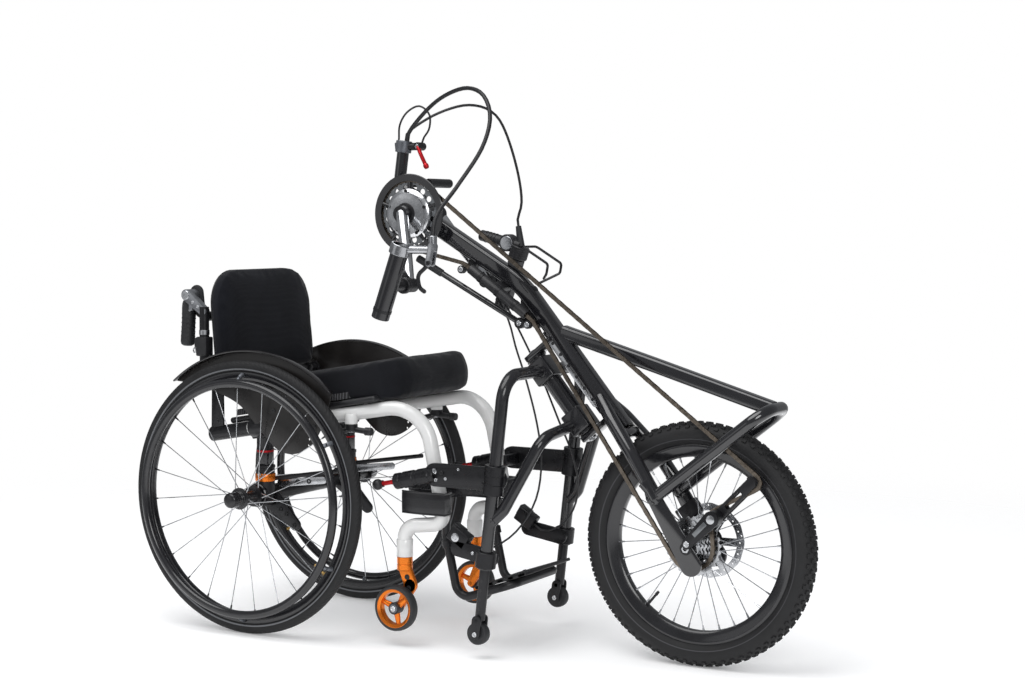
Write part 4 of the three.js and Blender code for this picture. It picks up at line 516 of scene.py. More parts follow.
rear_rim_section = mirrored([(262, -7.5), (264, -9.2), (270, -10.6), (276, -11.5), (279, -11.5),
                             (280.4, -10.8), (280.4, -9.6), (278, -9), (274.5, -8.4)])
rear_rim_section += [(260.8, 4), (260.8, -4)]
rear_tyre_section = mirrored([(279.6, -8.6), (281, -9.6), (283.4, -11.1), (287, -12.3), (291, -12.85),
                              (295, -12.4), (299, -10.8), (302.3, -8), (304.3, -4.2)], (305, 0))
handrim_radius = 257
handrim_tube = 9.5
handrim_offset = 36
grey_tab = finish("tab_grey", (0.17, 0.18, 0.2), 0.35, metallic=0.7, cloud=60)
knurled = finish("knurled_hub", (0.016, 0.016, 0.018), 0.3, metallic=0.3, coat=0.3, grain=700, depth=0.2)
for side, sign in sides:
    centre = (0, sign * half_track, axle_z)
    body = "rear_" + side
    rim = turned(rear_rim_section, centre, steps=128)
    valve = together(
        rod((0, centre[1], axle_z - 262), (0, centre[1], axle_z - 246), 3, 2.6, 12),
        rod((0, centre[1], axle_z - 246), (0, centre[1], axle_z - 228), 3.6, 3.2, 12, edge=0.6),
        rod((0, centre[1], axle_z - 260), (0, centre[1], axle_z - 256), 4.6, 4.6, 6),
    )
    valve.data.transform(about(centre, 54 * sign))
    hub_section = [
        (6, -30), (10, -33), (14.5, -30), (15.5, -28.5), (24, -27), (24.3, -25.5), (24, -23.4), (16.6, -22),
        (15.2, -17), (14.6, 0), (15.2, 17), (16.6, 22), (24, 23.4), (24.3, 25.5), (24, 27), (17.6, 28.5),
        (17.6, 30), (16.4, 31), (16.4, 33), (17.6, 34), (17.6, 36), (16.4, 37), (16.4, 39), (17.6, 40),
        (17, 44), (17, 57), (16.2, 60.6), (14, 63), (10.5, 64.6), (5, 65), (0, 65), (0, -30),
    ]
    hub = turned([(r, sign * a) for r, a in hub_section], centre, steps=48)
    pin = rod((0, centre[1] - sign * 30, axle_z), (0, centre[1] - sign * 89.6, axle_z), 6, edge=1, sides=24)
    wires, ends = laced(centre, 24, 20, 263.5, 32, 50, gloss_black)
    wheel = together(coated(rim, gloss_black), coated(hub, knurled), coated(pin, bright_steel), wires, ends,
                     coated(valve, brass))
    fitted(wheel, "rear_wheel_laced_" + side, None, body, "rear_wheel_" + side)

    tyre = turned(rear_tyre_section, centre, steps=144)
    rubber = tyre_rubber("rear_tyre_rubber_" + side, centre, 300, 150, 900,
                         band=(284.5, 287.6, (0.15, 0.155, 0.165)))
    fitted(tyre, "rear_tyre_tread_" + side, rubber, body, "rear_tyre_" + side)

    # Handrim: a gloss black tube bent to a ring and held by six small grey clamps.
    ring_y = centre[1] + sign * handrim_offset
    ring = turned(ring_section(handrim_radius, handrim_tube, 16), (0, ring_y, axle_z), steps=128)
    coated(ring, gloss_black)
    tabs = []
    for k in range(6):
        angle = 2 * math.pi * (k + 0.5) / 6
        face = centre[1] + sign * 11.9
        outer = around(centre, 274, angle, face)
        knee = around(centre, 268, angle, face + sign * 13)
        inner = around(centre, 259, angle, ring_y - sign * 5)
        tabs += [
            rod(outer, knee, 6, 4.6, 12, edge=0.8),
            rod(knee, inner, 4.6, 6.2, 12, edge=0.8),
        ]
    fitted(together(ring, coated(together(*tabs), grey_tab)), "handrim_bent_" + side, None, body,
           "handrim_" + side)

# Chair frame: two bent tubes of 32 mm, TIG-welded to cross tubes and enamelled white. Each
# runs from below the backrest over the knee bend, down the front leg and back to the caster.
white_enamel = finish("white_enamel", (0.66, 0.66, 0.655), 0.2, coat=0.7, cloud=9, grain=420, depth=0.02,
                      spread=0.1, tint=0.05)
tube_rise = 0.18
seat_tube_y, chair_leg_y, caster_stem_y = 184, 137, 150
swivel_x = 370
hinge_x, hinge_z = -104, 562


def tube_height(x):
    return 436 + tube_rise * (x + 120)


def bent_line(points, bend, step=7.5):
    """The centre line of a tube: straight runs joined by round bends of a set radius."""
    spots = [Vector(p) for p in points]
    bends = bend if isinstance(bend, (list, tuple)) else [bend] * (len(spots) - 2)
    line = [spots[0]]
    for before, corner, after, radius in zip(spots, spots[1:], spots[2:], bends):
        a, b = (corner - before), (after - corner)
        shorter = min(a.length, b.length)
        a.normalize()
        b.normalize()
        angle = a.angle(b)
        if angle < 1e-4 or not radius:
            line.append(corner)
            continue
        reach = min(radius * math.tan(angle / 2), shorter * 0.49)
        radius = reach / math.tan(angle / 2)
        inward = (b - a * math.cos(angle)).normalized()
        centre = corner - a * reach + inward * radius
        steps = max(2, round(math.degrees(angle) / step))
        for k in range(steps + 1):
            swing = angle * k / steps
            line.append(centre - inward * (radius * math.cos(swing)) + a * (radius * math.sin(swing)))
    line.append(spots[-1])
    return line


def bent_tube(points, radius, bend=0, sides=24, line=None):
    """A round tube along a bent line, capped at both ends."""
    line = [mm(*p) for p in (line or bent_line(points, bend))]
    path = tube_along(line, radius, max(1, sides // 4 - 1))
    only(path)
    bpy.ops.object.convert(target="MESH")
    return cleaned(bpy.context.object)


def weld_bead(centre, axis, radius, size=2.2):
    """A rippled bead of weld round a tube's end."""
    bead = turned(ring_section(radius, size, 8), centre, axis, steps=64)
    middle = mm(*centre)
    axis = Vector(axis).normalized()
    for vertex in bead.data.vertices:
        away = vertex.co - middle
        height = away.dot(axis)
        flat = away - axis * height
        swing = math.atan2(flat.dot(axis.orthogonal().normalized()),
                           flat.dot(axis.cross(axis.orthogonal()).normalized()))
        vertex.co += flat.normalized() * (0.0003 * math.sin(swing * 26))
    return bead


def plate(outline, from_y, to_y, edge=0.6):
    """A flat plate of an outline in X and Z, between two distances from the middle."""
    low, high = sorted((from_y, to_y))
    bpy.ops.mesh.primitive_circle_add(vertices=len(outline), radius=0.01, fill_type="NGON")
    piece = bpy.context.object
    for vertex, (x, z) in zip(piece.data.vertices, outline):
        vertex.co = mm(x, low, z)
    piece.matrix_world = Matrix()
    bpy.ops.object.mode_set(mode="EDIT")
    bpy.ops.mesh.select_all(action="SELECT")
    bpy.ops.mesh.extrude_region_move(TRANSFORM_OT_translate={"value": (0, (high - low) / 1000, 0)})
    bpy.ops.object.mode_set(mode="OBJECT")
    cleaned(piece, weld=False)
    return soften(piece, edge) if edge else piece


def oval(start, end, radius, end_radius=None, steps=16):
    """The outline of a plate with round ends between two points of X and Z."""
    end_radius = radius if end_radius is None else end_radius
    lean = math.atan2(end[1] - start[1], end[0] - start[0])
    outline = []
    for k in range(steps + 1):
        a = lean + math.pi / 2 + math.pi * k / steps
        outline.append(polar(*start, radius, a))
    for k in range(steps + 1):
        a = lean - math.pi / 2 + math.pi * k / steps
        outline.append(polar(*end, end_radius, a))
    return outline


def side_line(sign):
    return bent_line([
        (-120, sign * seat_tube_y, 436), (110, sign * seat_tube_y, tube_height(110)),
        (409, sign * chair_leg_y, 529), (463, sign * chair_leg_y, 272),
        (swivel_x, sign * caster_stem_y, 262), (swivel_x, sign * caster_stem_y, 196),
    ], [90, 90, 24, 30])


frame_parts = []
for sign in (-1, 1):
    frame_parts += [
        bent_tube(None, 16, line=side_line(sign)),
        turned([(0, -6), (16.4, -6), (16.4, 1), (14, 3.4), (0, 3.4)], (-120, sign * seat_tube_y, 436),
               (-1, 0, -tube_rise), 32),
        turned([(0, -66), (17.4, -66), (18, -65), (18, -30), (17.2, -28.6), (0, -28.6)],
               (swivel_x, sign * caster_stem_y, 262), (0, 0, 1), 40),
        rod((250, sign * 178, tube_height(250)), (250, sign * 178, 479.4), 14, sides=32, edge=1),
    ]
    ear = [polar(hinge_x, hinge_z, 15, math.pi * k / 24) for k in range(25)]
    ear += [(-121, tube_height(-121) + 8), (-87, tube_height(-87) + 8)]
    frame_parts += [
        plate(ear, sign * 186, sign * 192, 0.8),
        rod((hinge_x, sign * 162, tube_height(hinge_x)), (hinge_x, sign * 192, tube_height(hinge_x)), 15,
            sides=32, edge=1),
    ]
for x in (60, hinge_x):
    z = tube_height(x)
    frame_parts.append(bent_tube([(x, -183, z), (x, 183, z)], 14))
    for sign in (-1, 1):
        frame_parts.append(weld_bead((x, sign * 169.5, z), (0, 1, 0), 14.4))
frame_tubes = coated(together(*frame_parts), white_enamel)
frame_tubes.data.materials.append(satin_black)
for face in frame_tubes.data.polygons:
    if face.center.x * 1000 + origin_ahead < -78:
        face.material_index = 1
rear_sleeves = [coated(bent_tube([(-122, sign * seat_tube_y, tube_height(-122)),
    (-16, sign * seat_tube_y, tube_height(-16))], 16.8), satin_black) for sign in (-1, 1)]
fitted(together(frame_tubes, *rear_sleeves), "chair_frame_tubes", None, "chair", "chair_frame")

# Axle carrier: a black axle tube through two columns, each a round sleeve with an inner post,
# an orange depth ring and a clamp on the seat tube. A bolted plate braces each one below.
def block(centre, size, rise=0, edge=1.5, segments=2):
    """A block with soft edges, tilted in X and Z by a rise."""
    bpy.ops.mesh.primitive_cube_add(size=1)
    piece = bpy.context.object
    lean = Matrix.Rotation(-math.atan(rise), 4, "Y")
    stretch = Matrix.Diagonal((*[s / 1000 for s in size], 1))
    piece.data.transform(Matrix.Translation(mm(*centre)) @ lean @ stretch)
    return soften(piece, edge, segments) if edge else piece


def bolt(centre, axis, radius=4.5, height=3, hex_radius=2.4):
    """A socket-head bolt: a turned head with a hexagon sunk into it."""
    head = turned(
        [(0, 0), (radius, 0), (radius, height * 0.75), (radius * 0.86, height), (hex_radius * 1.25, height),
         (hex_radius, height * 0.8), (hex_radius, height * 0.35), (0, height * 0.35)], centre, axis,
         steps=18)
    return head


orange_anodising = finish("orange_anodising", (0.80, 0.20, 0.018), 0.24, metallic=0.75, cloud=24,
                          grain=1100, depth=0.05, spread=0.1, tint=0.12)
black_plastic = finish("moulded_black", (0.014, 0.014, 0.016), 0.42, cloud=35, grain=1500, depth=0.14)
signal_red = finish("red_anodising", (0.52, 0.012, 0.018), 0.26, metallic=0.6, cloud=50, tint=0.15)
carrier = [coated(rod((0, -191, axle_z), (0, 191, axle_z), 18, sides=40, edge=1.2), satin_black)]
for sign in (-1, 1):
    y = sign * 163
    top = tube_height(8)
    carrier += [
        coated(turned([(0, -24), (19, -24), (21, -22), (21, 60), (22.4, 61), (22.4, 66), (19.5, 67.5),
                       (0, 67.5)], (8, y, axle_z), (0, 0, 1), 40), satin_black),
        coated(turned([(19, 30), (22.2, 31), (22.8, 32), (22.8, 47), (22.2, 48), (19, 49)], (8, y, axle_z),
                      (0, 0, 1), 48), orange_anodising),
        coated(block((8, y, 404), (30, 27, 78), 0, 3), gloss_black),
        coated(turned([(15, 96), (19.4, 96.5), (19.4, 100.5), (15, 101)], (8, y, axle_z), (0, 0, 1), 40),
               signal_red),
        coated(block((8, sign * 166, top - 19), (46, 34, 12), tube_rise, 2.5), satin_black),
        coated(turned([(16.2, -19), (20.4, -19), (21, -18), (21, 18), (20.4, 19), (16.2, 19)],
                      (8, sign * seat_tube_y, top), (1, 0, tube_rise), 44), satin_black),
    ]
    for x in (-8, 24):
        carrier.append(coated(bolt((x, sign * 163, top - 27), (0, 0, -1), 4, 3), bright_steel))
    inner = sign * 150
    carrier.append(coated(plate(oval((0, axle_z), (78, 239), 26, 13), inner, sign * 142, 1), satin_black))
    for x, z in ((78, 239), (56, 262), (40, 272)):
        carrier.append(coated(bolt((x, sign * 150, z), (0, sign, 0), 5, 3), satin_black))
    carrier += [
        coated(turned([(18, -4), (26, -4), (27, -3), (27, 6), (25, 8), (18, 8)], (0, sign * 180, axle_z),
                      (0, sign, 0), 40), gloss_black),
        coated(bolt((8, sign * 184.6, 352), (0, sign, 0), 4.4, 3), bright_steel),
    ]
# The far brace and its slotted silver bracket show between the spokes.
for sign in (-1, 1):
    carrier += [
        coated(bent_tube([(20, sign * 148, 340), (120, sign * 140, 356), (236, sign * 137, 374)], 5, 60,
                         16), satin_black),
        coated(plate(oval((34, 330), (150, 344), 9, 8), sign * 139, sign * 142, 0.6), bright_steel),
    ]
    for x, z in ((52, 332), (82, 336), (112, 339)):
        carrier.append(coated(turned([(3, 0), (5.6, 0), (5.6, 1.6), (3, 1.6)], (x, sign * 142, z),
            (0, sign, 0), 20), satin_black))
fitted(together(*carrier), "axle_carrier_columns", None, "chair", "axle_carrier")

# Seat pan: a flat moulded board under the cushion, with rounded corners and a rolled edge.
# It lies on the two side tubes.
seat_lean = math.atan(tube_rise)
pan_board = block((117, 0, tube_height(117) + 23.4 / math.cos(seat_lean)),
                  (402 * math.cos(seat_lean), 362, 13.6), tube_rise, 6, 4)
for x in (-60, 20, 100, 180, 260):
    for sign in (-1, 1):
        pan_board = together(pan_board, block((x, sign * 165, tube_height(x) + 19.4), (16, 18, 5),
            tube_rise, 1))
fitted(pan_board, "seat_board", black_plastic, "chair", "seat_pan")


# Seat cushion: foam and a thicker front roll under a stretch cover. Its side is a separate
# panel with a seam, above a ribbed spacer strip that is sewn on round the lower edge.
def cloth_finish(name, colour, thread, relief, sheen=0.35):
    """A knitted cover: fine rows of loops in relief over slow changes of shade."""
    material = finish(name, colour, 0.82, cloud=11, grain=2600, depth=0.25, spread=0.14, tint=0.35,
                      specular=0.14, sheen=sheen)
    made = material.node_tree.nodes
    shader = made["Principled BSDF"]
    where = add_node(material, "TexCoord")
    heights = []
    for direction in ("X", "DIAGONAL"):
        wave = add_node(material, "TexWave", {"Scale": thread, "Distortion": 0.6, "Detail": 1,
            "Detail Scale": 2}, bands_direction=direction)
        wire(material, where.outputs["Object"], wave.inputs["Vector"])
        heights.append(wave.outputs["Fac"])
    crossing = add_node(material, "Math", operation="MULTIPLY")
    wire(material, heights[0], crossing.inputs[0])
    wire(material, heights[1], crossing.inputs[1])
    bump = add_node(material, "Bump", {"Strength": relief, "Distance": 0.0006})
    wire(material, crossing.outputs[0], bump.inputs["Height"])
    grain = next(n for n in made if n.type == "BUMP" and n != bump)
    wire(material, grain.outputs["Normal"], bump.inputs["Normal"])
    wire(material, bump.outputs["Normal"], shader.inputs["Normal"])
    return material


def stuffed(piece, voxel, cap, pressure=4):
    """Swells a pad's cover by cloth simulation. No point moves further than the cap."""
    only(piece)
    piece.data.remesh_voxel_size = voxel / 1000
    bpy.ops.object.voxel_remesh()
    rest = [v.co.copy() for v in piece.data.vertices]
    bpy.ops.object.modifier_add(type="CLOTH")
    cloth = piece.modifiers[-1]
    cloth.settings.use_pressure = True
    cloth.settings.uniform_pressure_force = pressure
    cloth.settings.effector_weights.gravity = 0
    cloth.settings.quality = 4
    cloth.point_cache.frame_start = 1
    cloth.point_cache.frame_end = 20
    for k in range(1, 21):
        bpy.context.scene.frame_set(k)
    only(piece)
    bpy.ops.object.modifier_apply(modifier=cloth.name)
    bpy.context.scene.frame_set(1)
    for vertex, was in zip(piece.data.vertices, rest):
        step = vertex.co - was
        if step.length > cap / 1000:
            vertex.co = was + step * (cap / 1000 / step.length)
    return piece


def relaxed(piece, times):
    """Smooths a stuffed cover and splits each of its faces in four."""
    modified(piece, "SMOOTH", iterations=times, factor=0.5)
    return modified(piece, "SUBSURF", levels=1, render_levels=1)


def pad_block(place):
    """A block with a fine mesh, to be shaped into a pad."""
    bpy.ops.mesh.primitive_cube_add(size=1)
    pad = bpy.context.object
    pad.data.transform(place)
    bpy.ops.object.mode_set(mode="EDIT")
    bpy.ops.mesh.select_all(action="SELECT")
    bpy.ops.mesh.subdivide(number_cuts=11)
    bpy.ops.object.mode_set(mode="OBJECT")
    return pad


cushion_black = cloth_finish("stretch_cover_black", (0.0065, 0.007, 0.0095), 260, 0.35, sheen=0.12)
cushion_middle = 132
cushion_base = tube_height(cushion_middle) + 31.4
cushion_place = Matrix.Translation(mm(cushion_middle, 0, cushion_base)) @ Matrix.Rotation(-seat_lean, 4,
    "Y")
cushion = pad_block(Matrix.Translation((0, 0, 0.031)) @ Matrix.Diagonal((0.424, 0.356, 0.058, 1)))
half_length, half_width = 212, 178
for vertex in cushion.data.vertices:
    u, v, w = (c * 1000 for c in vertex.co)
    u, v, w = u / half_length, v / half_width, (w - 2) / 58
    round_off = 1 - 0.085 * (abs(u) ** 6) * (abs(v) ** 6) * 1.4
    side_pull = 1 - 0.012 * math.cos(u * math.pi / 2) ** 2
    front = max(0, u) ** 3
    rear = max(0, -u) ** 2
    sag = 3.5 * math.cos(v * math.pi / 2) * (1 - front)
    top = 65 + 4 * front + 5 * rear - sag + 1.5 * math.cos(u * math.pi)
    nose = 12 * (max(0, u) ** 12) * ((w - 0.52) ** 2) * 4
    hang = 15 * max(0, (u - 0.42) / 0.58) ** 0.8 * (1 - w) if u > 0.42 else 0
    ahead = u * half_length + 38 * max(0, u) ** 1.4
    vertex.co = Vector((ahead * round_off - nose, v * half_width * round_off * side_pull,
                        2 + w * top - hang)) / 1000
stuffed(soften(cushion, 12, 3, 60), 5.5, 7)
relaxed(cushion, 6)
faces_out = [v.normal.copy() for v in cushion.data.vertices]
for vertex, away in zip(cushion.data.vertices, faces_out):
    u, v, w = (c * 1000 for c in vertex.co)
    sink = 0
    if abs(away.z) < 0.75 and u < 60:
        sink += 2.2 * math.exp(-((w - 17) / 2.2) ** 2)
    if abs(v) > 150 and w < 62:
        seam_at = 34 - 14 * ((w - 20) / 40) ** 2
        sink += 2.4 * math.exp(-((u - seam_at) / 2.4) ** 2)
        if u < seam_at and w > 17:
            sink += 1.6 * min(1, (seam_at - u) / 14)
    if abs(v) > 140 and u < 30:
        sink += 1.6 * math.exp(-((w - (50 - 5 * max(0, -u / half_length) ** 2)) / 2) ** 2)
    vertex.co -= away * (sink / 1000)
cushion.data.transform(cushion_place)
fitted(cushion, "seat_cushion_cover", cushion_black, "chair", "seat_cushion", angle=60)

ribbed_strip = finish("ribbed_spacer_strip", (0.016, 0.016, 0.018), 0.7, cloud=50, depth=0.1, specular=0.3)
shader = ribbed_strip.node_tree.nodes["Principled BSDF"]
where = add_node(ribbed_strip, "TexCoord")
ribs = add_node(ribbed_strip, "TexWave", {"Scale": 52, "Distortion": 0.4})
bump = add_node(ribbed_strip, "Bump", {"Strength": 0.9, "Distance": 0.0016})
# The rib colour follows the relief: lighter on each crest and near black in each groove, which is painted
# shade in the grooves.
groove_shade_mix = add_node(ribbed_strip, "Mix", {"A": (0.006, 0.006, 0.007, 1), "B": (0.060, 0.060, 0.064, 1)},
                data_type="RGBA")
wire(ribbed_strip, where.outputs["Object"], ribs.inputs["Vector"])
wire(ribbed_strip, ribs.outputs["Fac"], bump.inputs["Height"])
wire(ribbed_strip, ribs.outputs["Fac"], groove_shade_mix.inputs["Factor"])
wire(ribbed_strip, groove_shade_mix.outputs["Result"], shader.inputs["Base Color"])
wire(ribbed_strip, bump.outputs["Normal"], shader.inputs["Normal"])


def rounded_loop(length, width, corner, per_corner=8):
    loop = []
    for sx, sy, start in ((1, 1, 0), (-1, 1, 90), (-1, -1, 180), (1, -1, 270)):
        for k in range(per_corner + 1):
            a = math.radians(start + 90 * k / per_corner)
            loop.append((sx * (length / 2 - corner) + corner * math.cos(a),
                         sy * (width / 2 - corner) + corner * math.sin(a)))
    return loop


loop = rounded_loop(330, 364, 40)
bpy.ops.mesh.primitive_circle_add(vertices=len(loop), radius=0.01)
strip = bpy.context.object
for vertex, (x, y) in zip(strip.data.vertices, loop):
    vertex.co = (x / 1000, y / 1000, 0.0016)
bpy.ops.object.mode_set(mode="EDIT")
bpy.ops.mesh.select_all(action="SELECT")
bpy.ops.mesh.extrude_region_move(TRANSFORM_OT_translate={"value": (0, 0, 0.014)})
bpy.ops.object.mode_set(mode="OBJECT")
modified(strip, "SOLIDIFY", thickness=0.0018, offset=0)
strip.data.transform(cushion_place @ Matrix.Translation((-0.045, 0, 0)))
fitted(strip, "cushion_spacer_strip", ribbed_strip, "chair", angle=40)

# Side guards: pressed black sheet between wheel and seat. The arc is rolled out over the tyre
# to a lip with a rounded edge, and three rivets show on the outside.
guard_gloss = finish("guard_gloss_black", (0.012, 0.011, 0.012), 0.22, coat=0.5, cloud=8, grain=600,
                     depth=0.03)
guard_inner = finish("guard_brown_black", (0.011, 0.0095, 0.009), 0.3, cloud=10, grain=900, depth=0.1,
                     tint=0.5)
guard_shares = [(0.93, 0.16), (0.86, 0.04), (0.76, -0.02), (0.66, 0), (0.55, 0.12), (0.4, 0.3), (0.1, 0.42)]
guard_radius, guard_y = 324, 200.4
arc_start, arc_sweep = 130, 82
arc_end = math.radians(arc_start - arc_sweep)


def cut_by(piece, *tools):
    """Cuts tools out of a piece and puts them away."""
    tool = together(*tools)
    modified(piece, "BOOLEAN", object=tool)
    bpy.data.objects.remove(tool)
    return piece


for side, sign in sides:
    arc = [polar(0, axle_z, guard_radius, math.radians(arc_start - arc_sweep * k / 48)) for k in range(49)]
    rear_end, front_end = arc[0], arc[-1]
    hem = [(front_end[0], 0, front_end[1])]
    for along, up in guard_shares:
        hem.append((rear_end[0] + (front_end[0] - rear_end[0]) * along, 0,
                    axle_z + 108 + guard_radius * up))
    hem.append((rear_end[0], 0, rear_end[1]))
    lower = [(p.x, p.z) for p in smooth_line(hem, 56)][1:-1]
    panel = plate(arc + lower, sign * guard_y, sign * (guard_y + 3), 0.8)
    for slot in range(4):
        x, z = 152 + slot * 2.2, 414 + slot * 14
        cut_by(panel, rod((x, sign * 190, z), (x, sign * 212, z), 2.6, sides=12))
    coated(panel, guard_inner)

    lip_section = [(guard_radius, 0), (guard_radius + 3, 0), (guard_radius + 3, sign * 15),
                   (guard_radius, sign * 15)]
    bead_section = ring_section(guard_radius + 1.5, 2.2, 8, sign * 14.6)
    lip, bead = [
        turned(section, (0, sign * guard_y, axle_z), (0, 1, 0), 48, out=around((0, 0), 1, arc_end, 0),
               degrees=arc_sweep)
        for section in (lip_section, bead_section)]
    coated(soften(lip, 1), guard_gloss)
    coated(bead, guard_gloss)
    rivets = []
    for x, z in ((-90, 470), (60, 500), (170, 470)):
        rivets.append(coated(bolt((x, sign * (guard_y + 3), z), (0, sign, 0), 5, 2), black_plastic))
    fitted(together(panel, lip, bead, *rivets), "side_guard_" + side + "_pressed", None, "chair",
           "side_guard_" + side)

# Backrest frame: two black canes hinged on the ears of the seat frame, joined by a bar. Each
# carries a black height clamp with a small ring lever and a silver arm for the push handle.
silver_arm = finish("silver_grey_arm", (0.33, 0.34, 0.36), 0.3, metallic=0.85, cloud=40, grain=1300,
                    depth=0.06)
cane_y = 168
handle_x, handle_z = -205, 748
back_parts = []
for sign in (-1, 1):
    y = sign * cane_y
    back_parts += [
        coated(bent_tube([(hinge_x, y, hinge_z), (-158, y, 586), (-158, y, 722)], 11, 24), satin_black),
        coated(turned([(0, 0), (10, 0), (11, 1), (11, 19.5), (10, 20.4), (0, 20.4)],
                      (hinge_x, sign * 165, hinge_z), (0, sign, 0), 32), satin_black),
        coated(block((-158, y, 632), (30, 27, 44), 0, 3), black_plastic),
        coated(block((-176, y, 640), (14, 12, 22), 0, 2), black_plastic),
        coated(turned([(10.6, -6), (12, -5), (12, 5), (10.6, 6)], (-158, y, 664), (0, 0, 1), 32),
               bright_steel),
        coated(turned(ring_section(5, 1.6, 10), (-186, y, 622), (0.3, 1, 0), 24), bright_steel),
        coated(rod((-186, y, 627), (-176, y, 636), 1.8, sides=12), bright_steel),
    ]
    outline = oval((-158, 712), (handle_x, handle_z), 10, 13)
    arm = plate(outline, y - 8.4, y + 8.4, 1.6)
    back_parts += [
        coated(arm, silver_arm),
        coated(turned([(0, 8), (10.5, 8), (10.5, 9.6), (9.4, 10.4), (4, 10.4), (3.4, 9.4), (0, 9.4)],
                      (handle_x, y, handle_z), (0, sign, 0), 40), bright_steel),
    ]
    for x, z in ((-170, 722), (-184, 732)):
        back_parts.append(coated(bolt((x, y + sign * 8.4, z), (0, sign, 0), 3.4, 1.8), bright_steel))
back_parts.append(coated(bent_tube([(-158, -166, 700), (-158, 166, 700)], 11), satin_black))
fitted(together(*back_parts), "backrest_canes", None, "backrest", "backrest_frame")

# Backrest cushion: a stretch cover over foam on a curved shell, with rounded top corners and
# a piped edge where the front panel meets the back.
back_black = cloth_finish("backrest_cover_black", (0.0065, 0.0072, 0.0105), 240, 0.3, sheen=0.12)
rest_pad = pad_block(Matrix.Diagonal((0.036, 0.366, 0.240, 1)))
rest_half_width, rest_half_height = 183, 120
rest_x, rest_z = -146.6, 690
lean_share = 0.09


def pad_outline(v, w, half_width, half_height, top_corner, low_corner):
    """Draws a square corner in to a round one."""
    corner = top_corner if w > 0 else low_corner
    over_v, over_w = abs(v) - (half_width - corner), abs(w) - (half_height - corner)
    if over_v > 0 and over_w > 0:
        far = math.hypot(over_v, over_w)
        reach = max(over_v, over_w)
        over_v, over_w = over_v * reach / far, over_w * reach / far
        v = math.copysign(half_width - corner + over_v, v)
        w = math.copysign(half_height - corner + over_w, w)
    return v, w


for vertex in rest_pad.data.vertices:
    t, v, w = (c * 1000 for c in vertex.co)
    v, w = pad_outline(v, w, rest_half_width, rest_half_height, 86, 30)
    edge = max(abs(v) / rest_half_width, abs(w) / rest_half_height)
    front = t > 0
    hollow = 3.5 * (1 - (v / rest_half_width) ** 2) if front else 0
    t = t * (1 - 0.35 * max(0, edge - 0.6) / 0.4) - hollow * 0.4
    vertex.co = Vector((t, v, w)) / 1000
stuffed(soften(rest_pad, 8, 3, 60), 4.6, 5)
relaxed(rest_pad, 5)
faces_out = [v.normal.copy() for v in rest_pad.data.vertices]
for vertex, away in zip(rest_pad.data.vertices, faces_out):
    if abs(away.x) < 0.8:
        vertex.co -= away * (0.0017 * math.exp(-((vertex.co.x * 1000 + 7) / 1.9) ** 2))
rest_lean = Matrix.Identity(4)
rest_lean[0][2] = -lean_share
rest_pad.data.transform(Matrix.Translation(mm(rest_x + 28, 0, rest_z)) @ rest_lean)
fitted(rest_pad, "backrest_cushion_cover", back_black, "backrest", "backrest_cushion", angle=60)
piping_loop = []
for k in range(97):
    a = 2 * math.pi * k / 96
    v, w = 400 * math.cos(a), 400 * math.sin(a)
    scale = max(abs(v) / 176, abs(w) / 113)
    v, w = pad_outline(v / scale, w / scale, 176, 113, 80, 28)
    piping_loop.append((rest_x + 19 - lean_share * w, v, rest_z + w))
piping = bent_tube(None, 2.1, line=piping_loop, sides=12)
fitted(piping, "backrest_piping", black_plastic, "backrest")

# Push handles: folded down behind the canes, each a grey-black soft pad on a round hinge.
# A silver knuckle joins the pad to the arm on the cane.
soft_grip = finish("soft_grip_rubber", (0.017, 0.018, 0.02), 0.55, cloud=16, grain=1700, depth=0.22,
                   spread=0.2)
for side, sign in sides:
    inner = sign * (cane_y - 8.5 - 0.6)
    near, far = sorted((inner, inner - sign * 17))
    knuckle = plate(oval((handle_x, handle_z), (-211.5, 722), 13), near, far, 2)
    y = inner - sign * 13.5
    core = turned(
        [(0, 0), (10, 0), (14.4, 2), (16.2, 8), (16.6, 18), (15.8, 40), (15.6, 60), (16.2, 84), (16.4, 96),
         (14.6, 102), (10, 105), (0, 105)], (-218, y, 735), (-6.5, 0, -104), 40)
    rings = []
    for k in range(6):
        rings.append(turned([(15.4, -1.4), (16.7, -0.7), (16.7, 0.7), (15.4, 1.4)],
                            (-218 - 6.5 * (0.3 + 0.1 * k), y, 735 - 104 * (0.3 + 0.1 * k)), (-6.5, 0, -104),
                            32))
    disc = coated(turned([(0, 0), (8, 0), (8, 1), (7, 1.6), (0, 1.6)],
                         (handle_x, inner - sign * 17, handle_z), (0, -sign, 0), 32), bright_steel)
    coated(knuckle, silver_arm)
    cheek_y = sorted((inner - sign * 17.4, inner - sign * 26))
    cheek = plate(oval((-203, 752), (-193, 708), 18, 13, 20), *cheek_y, 3)
    grip_pad = coated(together(core, cheek, *rings), soft_grip)
    fitted(together(grip_pad, knuckle, disc), "push_handle_pad_" + side, None, "handle_" + side,
           "push_handle_" + side)

# Footrest: one black tube bent in a U between the front legs, and a slatted plate on it.
# The plate is moulded black plastic: five grooved slats between two side bars.
foot_line = [(446, -104, 244), (478, -104, 104), (610, -104, 150), (610, 104, 150), (478, 104, 104),
             (446, 104, 244)]
foot_parts = [bent_tube(foot_line, 9.5, 30)]
for sign in (-1, 1):
    foot_parts += [
        rod((446, sign * 104, 244), (457.5, sign * 122, 290), 9.5, sides=24, edge=0.8),
        turned([(9.6, -9), (12.6, -8), (12.6, 8), (9.6, 9)], (451, sign * 104, 224), (-32, 0, 140), 32),
        bolt((451 - 12, sign * 104, 221), (-1, 0, -0.2), 3.6, 2.6),
    ]
fitted(together(*foot_parts), "footrest_bent_tube", satin_black, "chair", "footrest_tube")
foot_rise = (150 - 104) / (610 - 478)
foot_lean = math.atan(foot_rise)
foot_x = 580
foot_z = 104 + (foot_x - 478) * foot_rise + (9.5 + 0.4 + 3.5) / math.cos(foot_lean)
slats = []
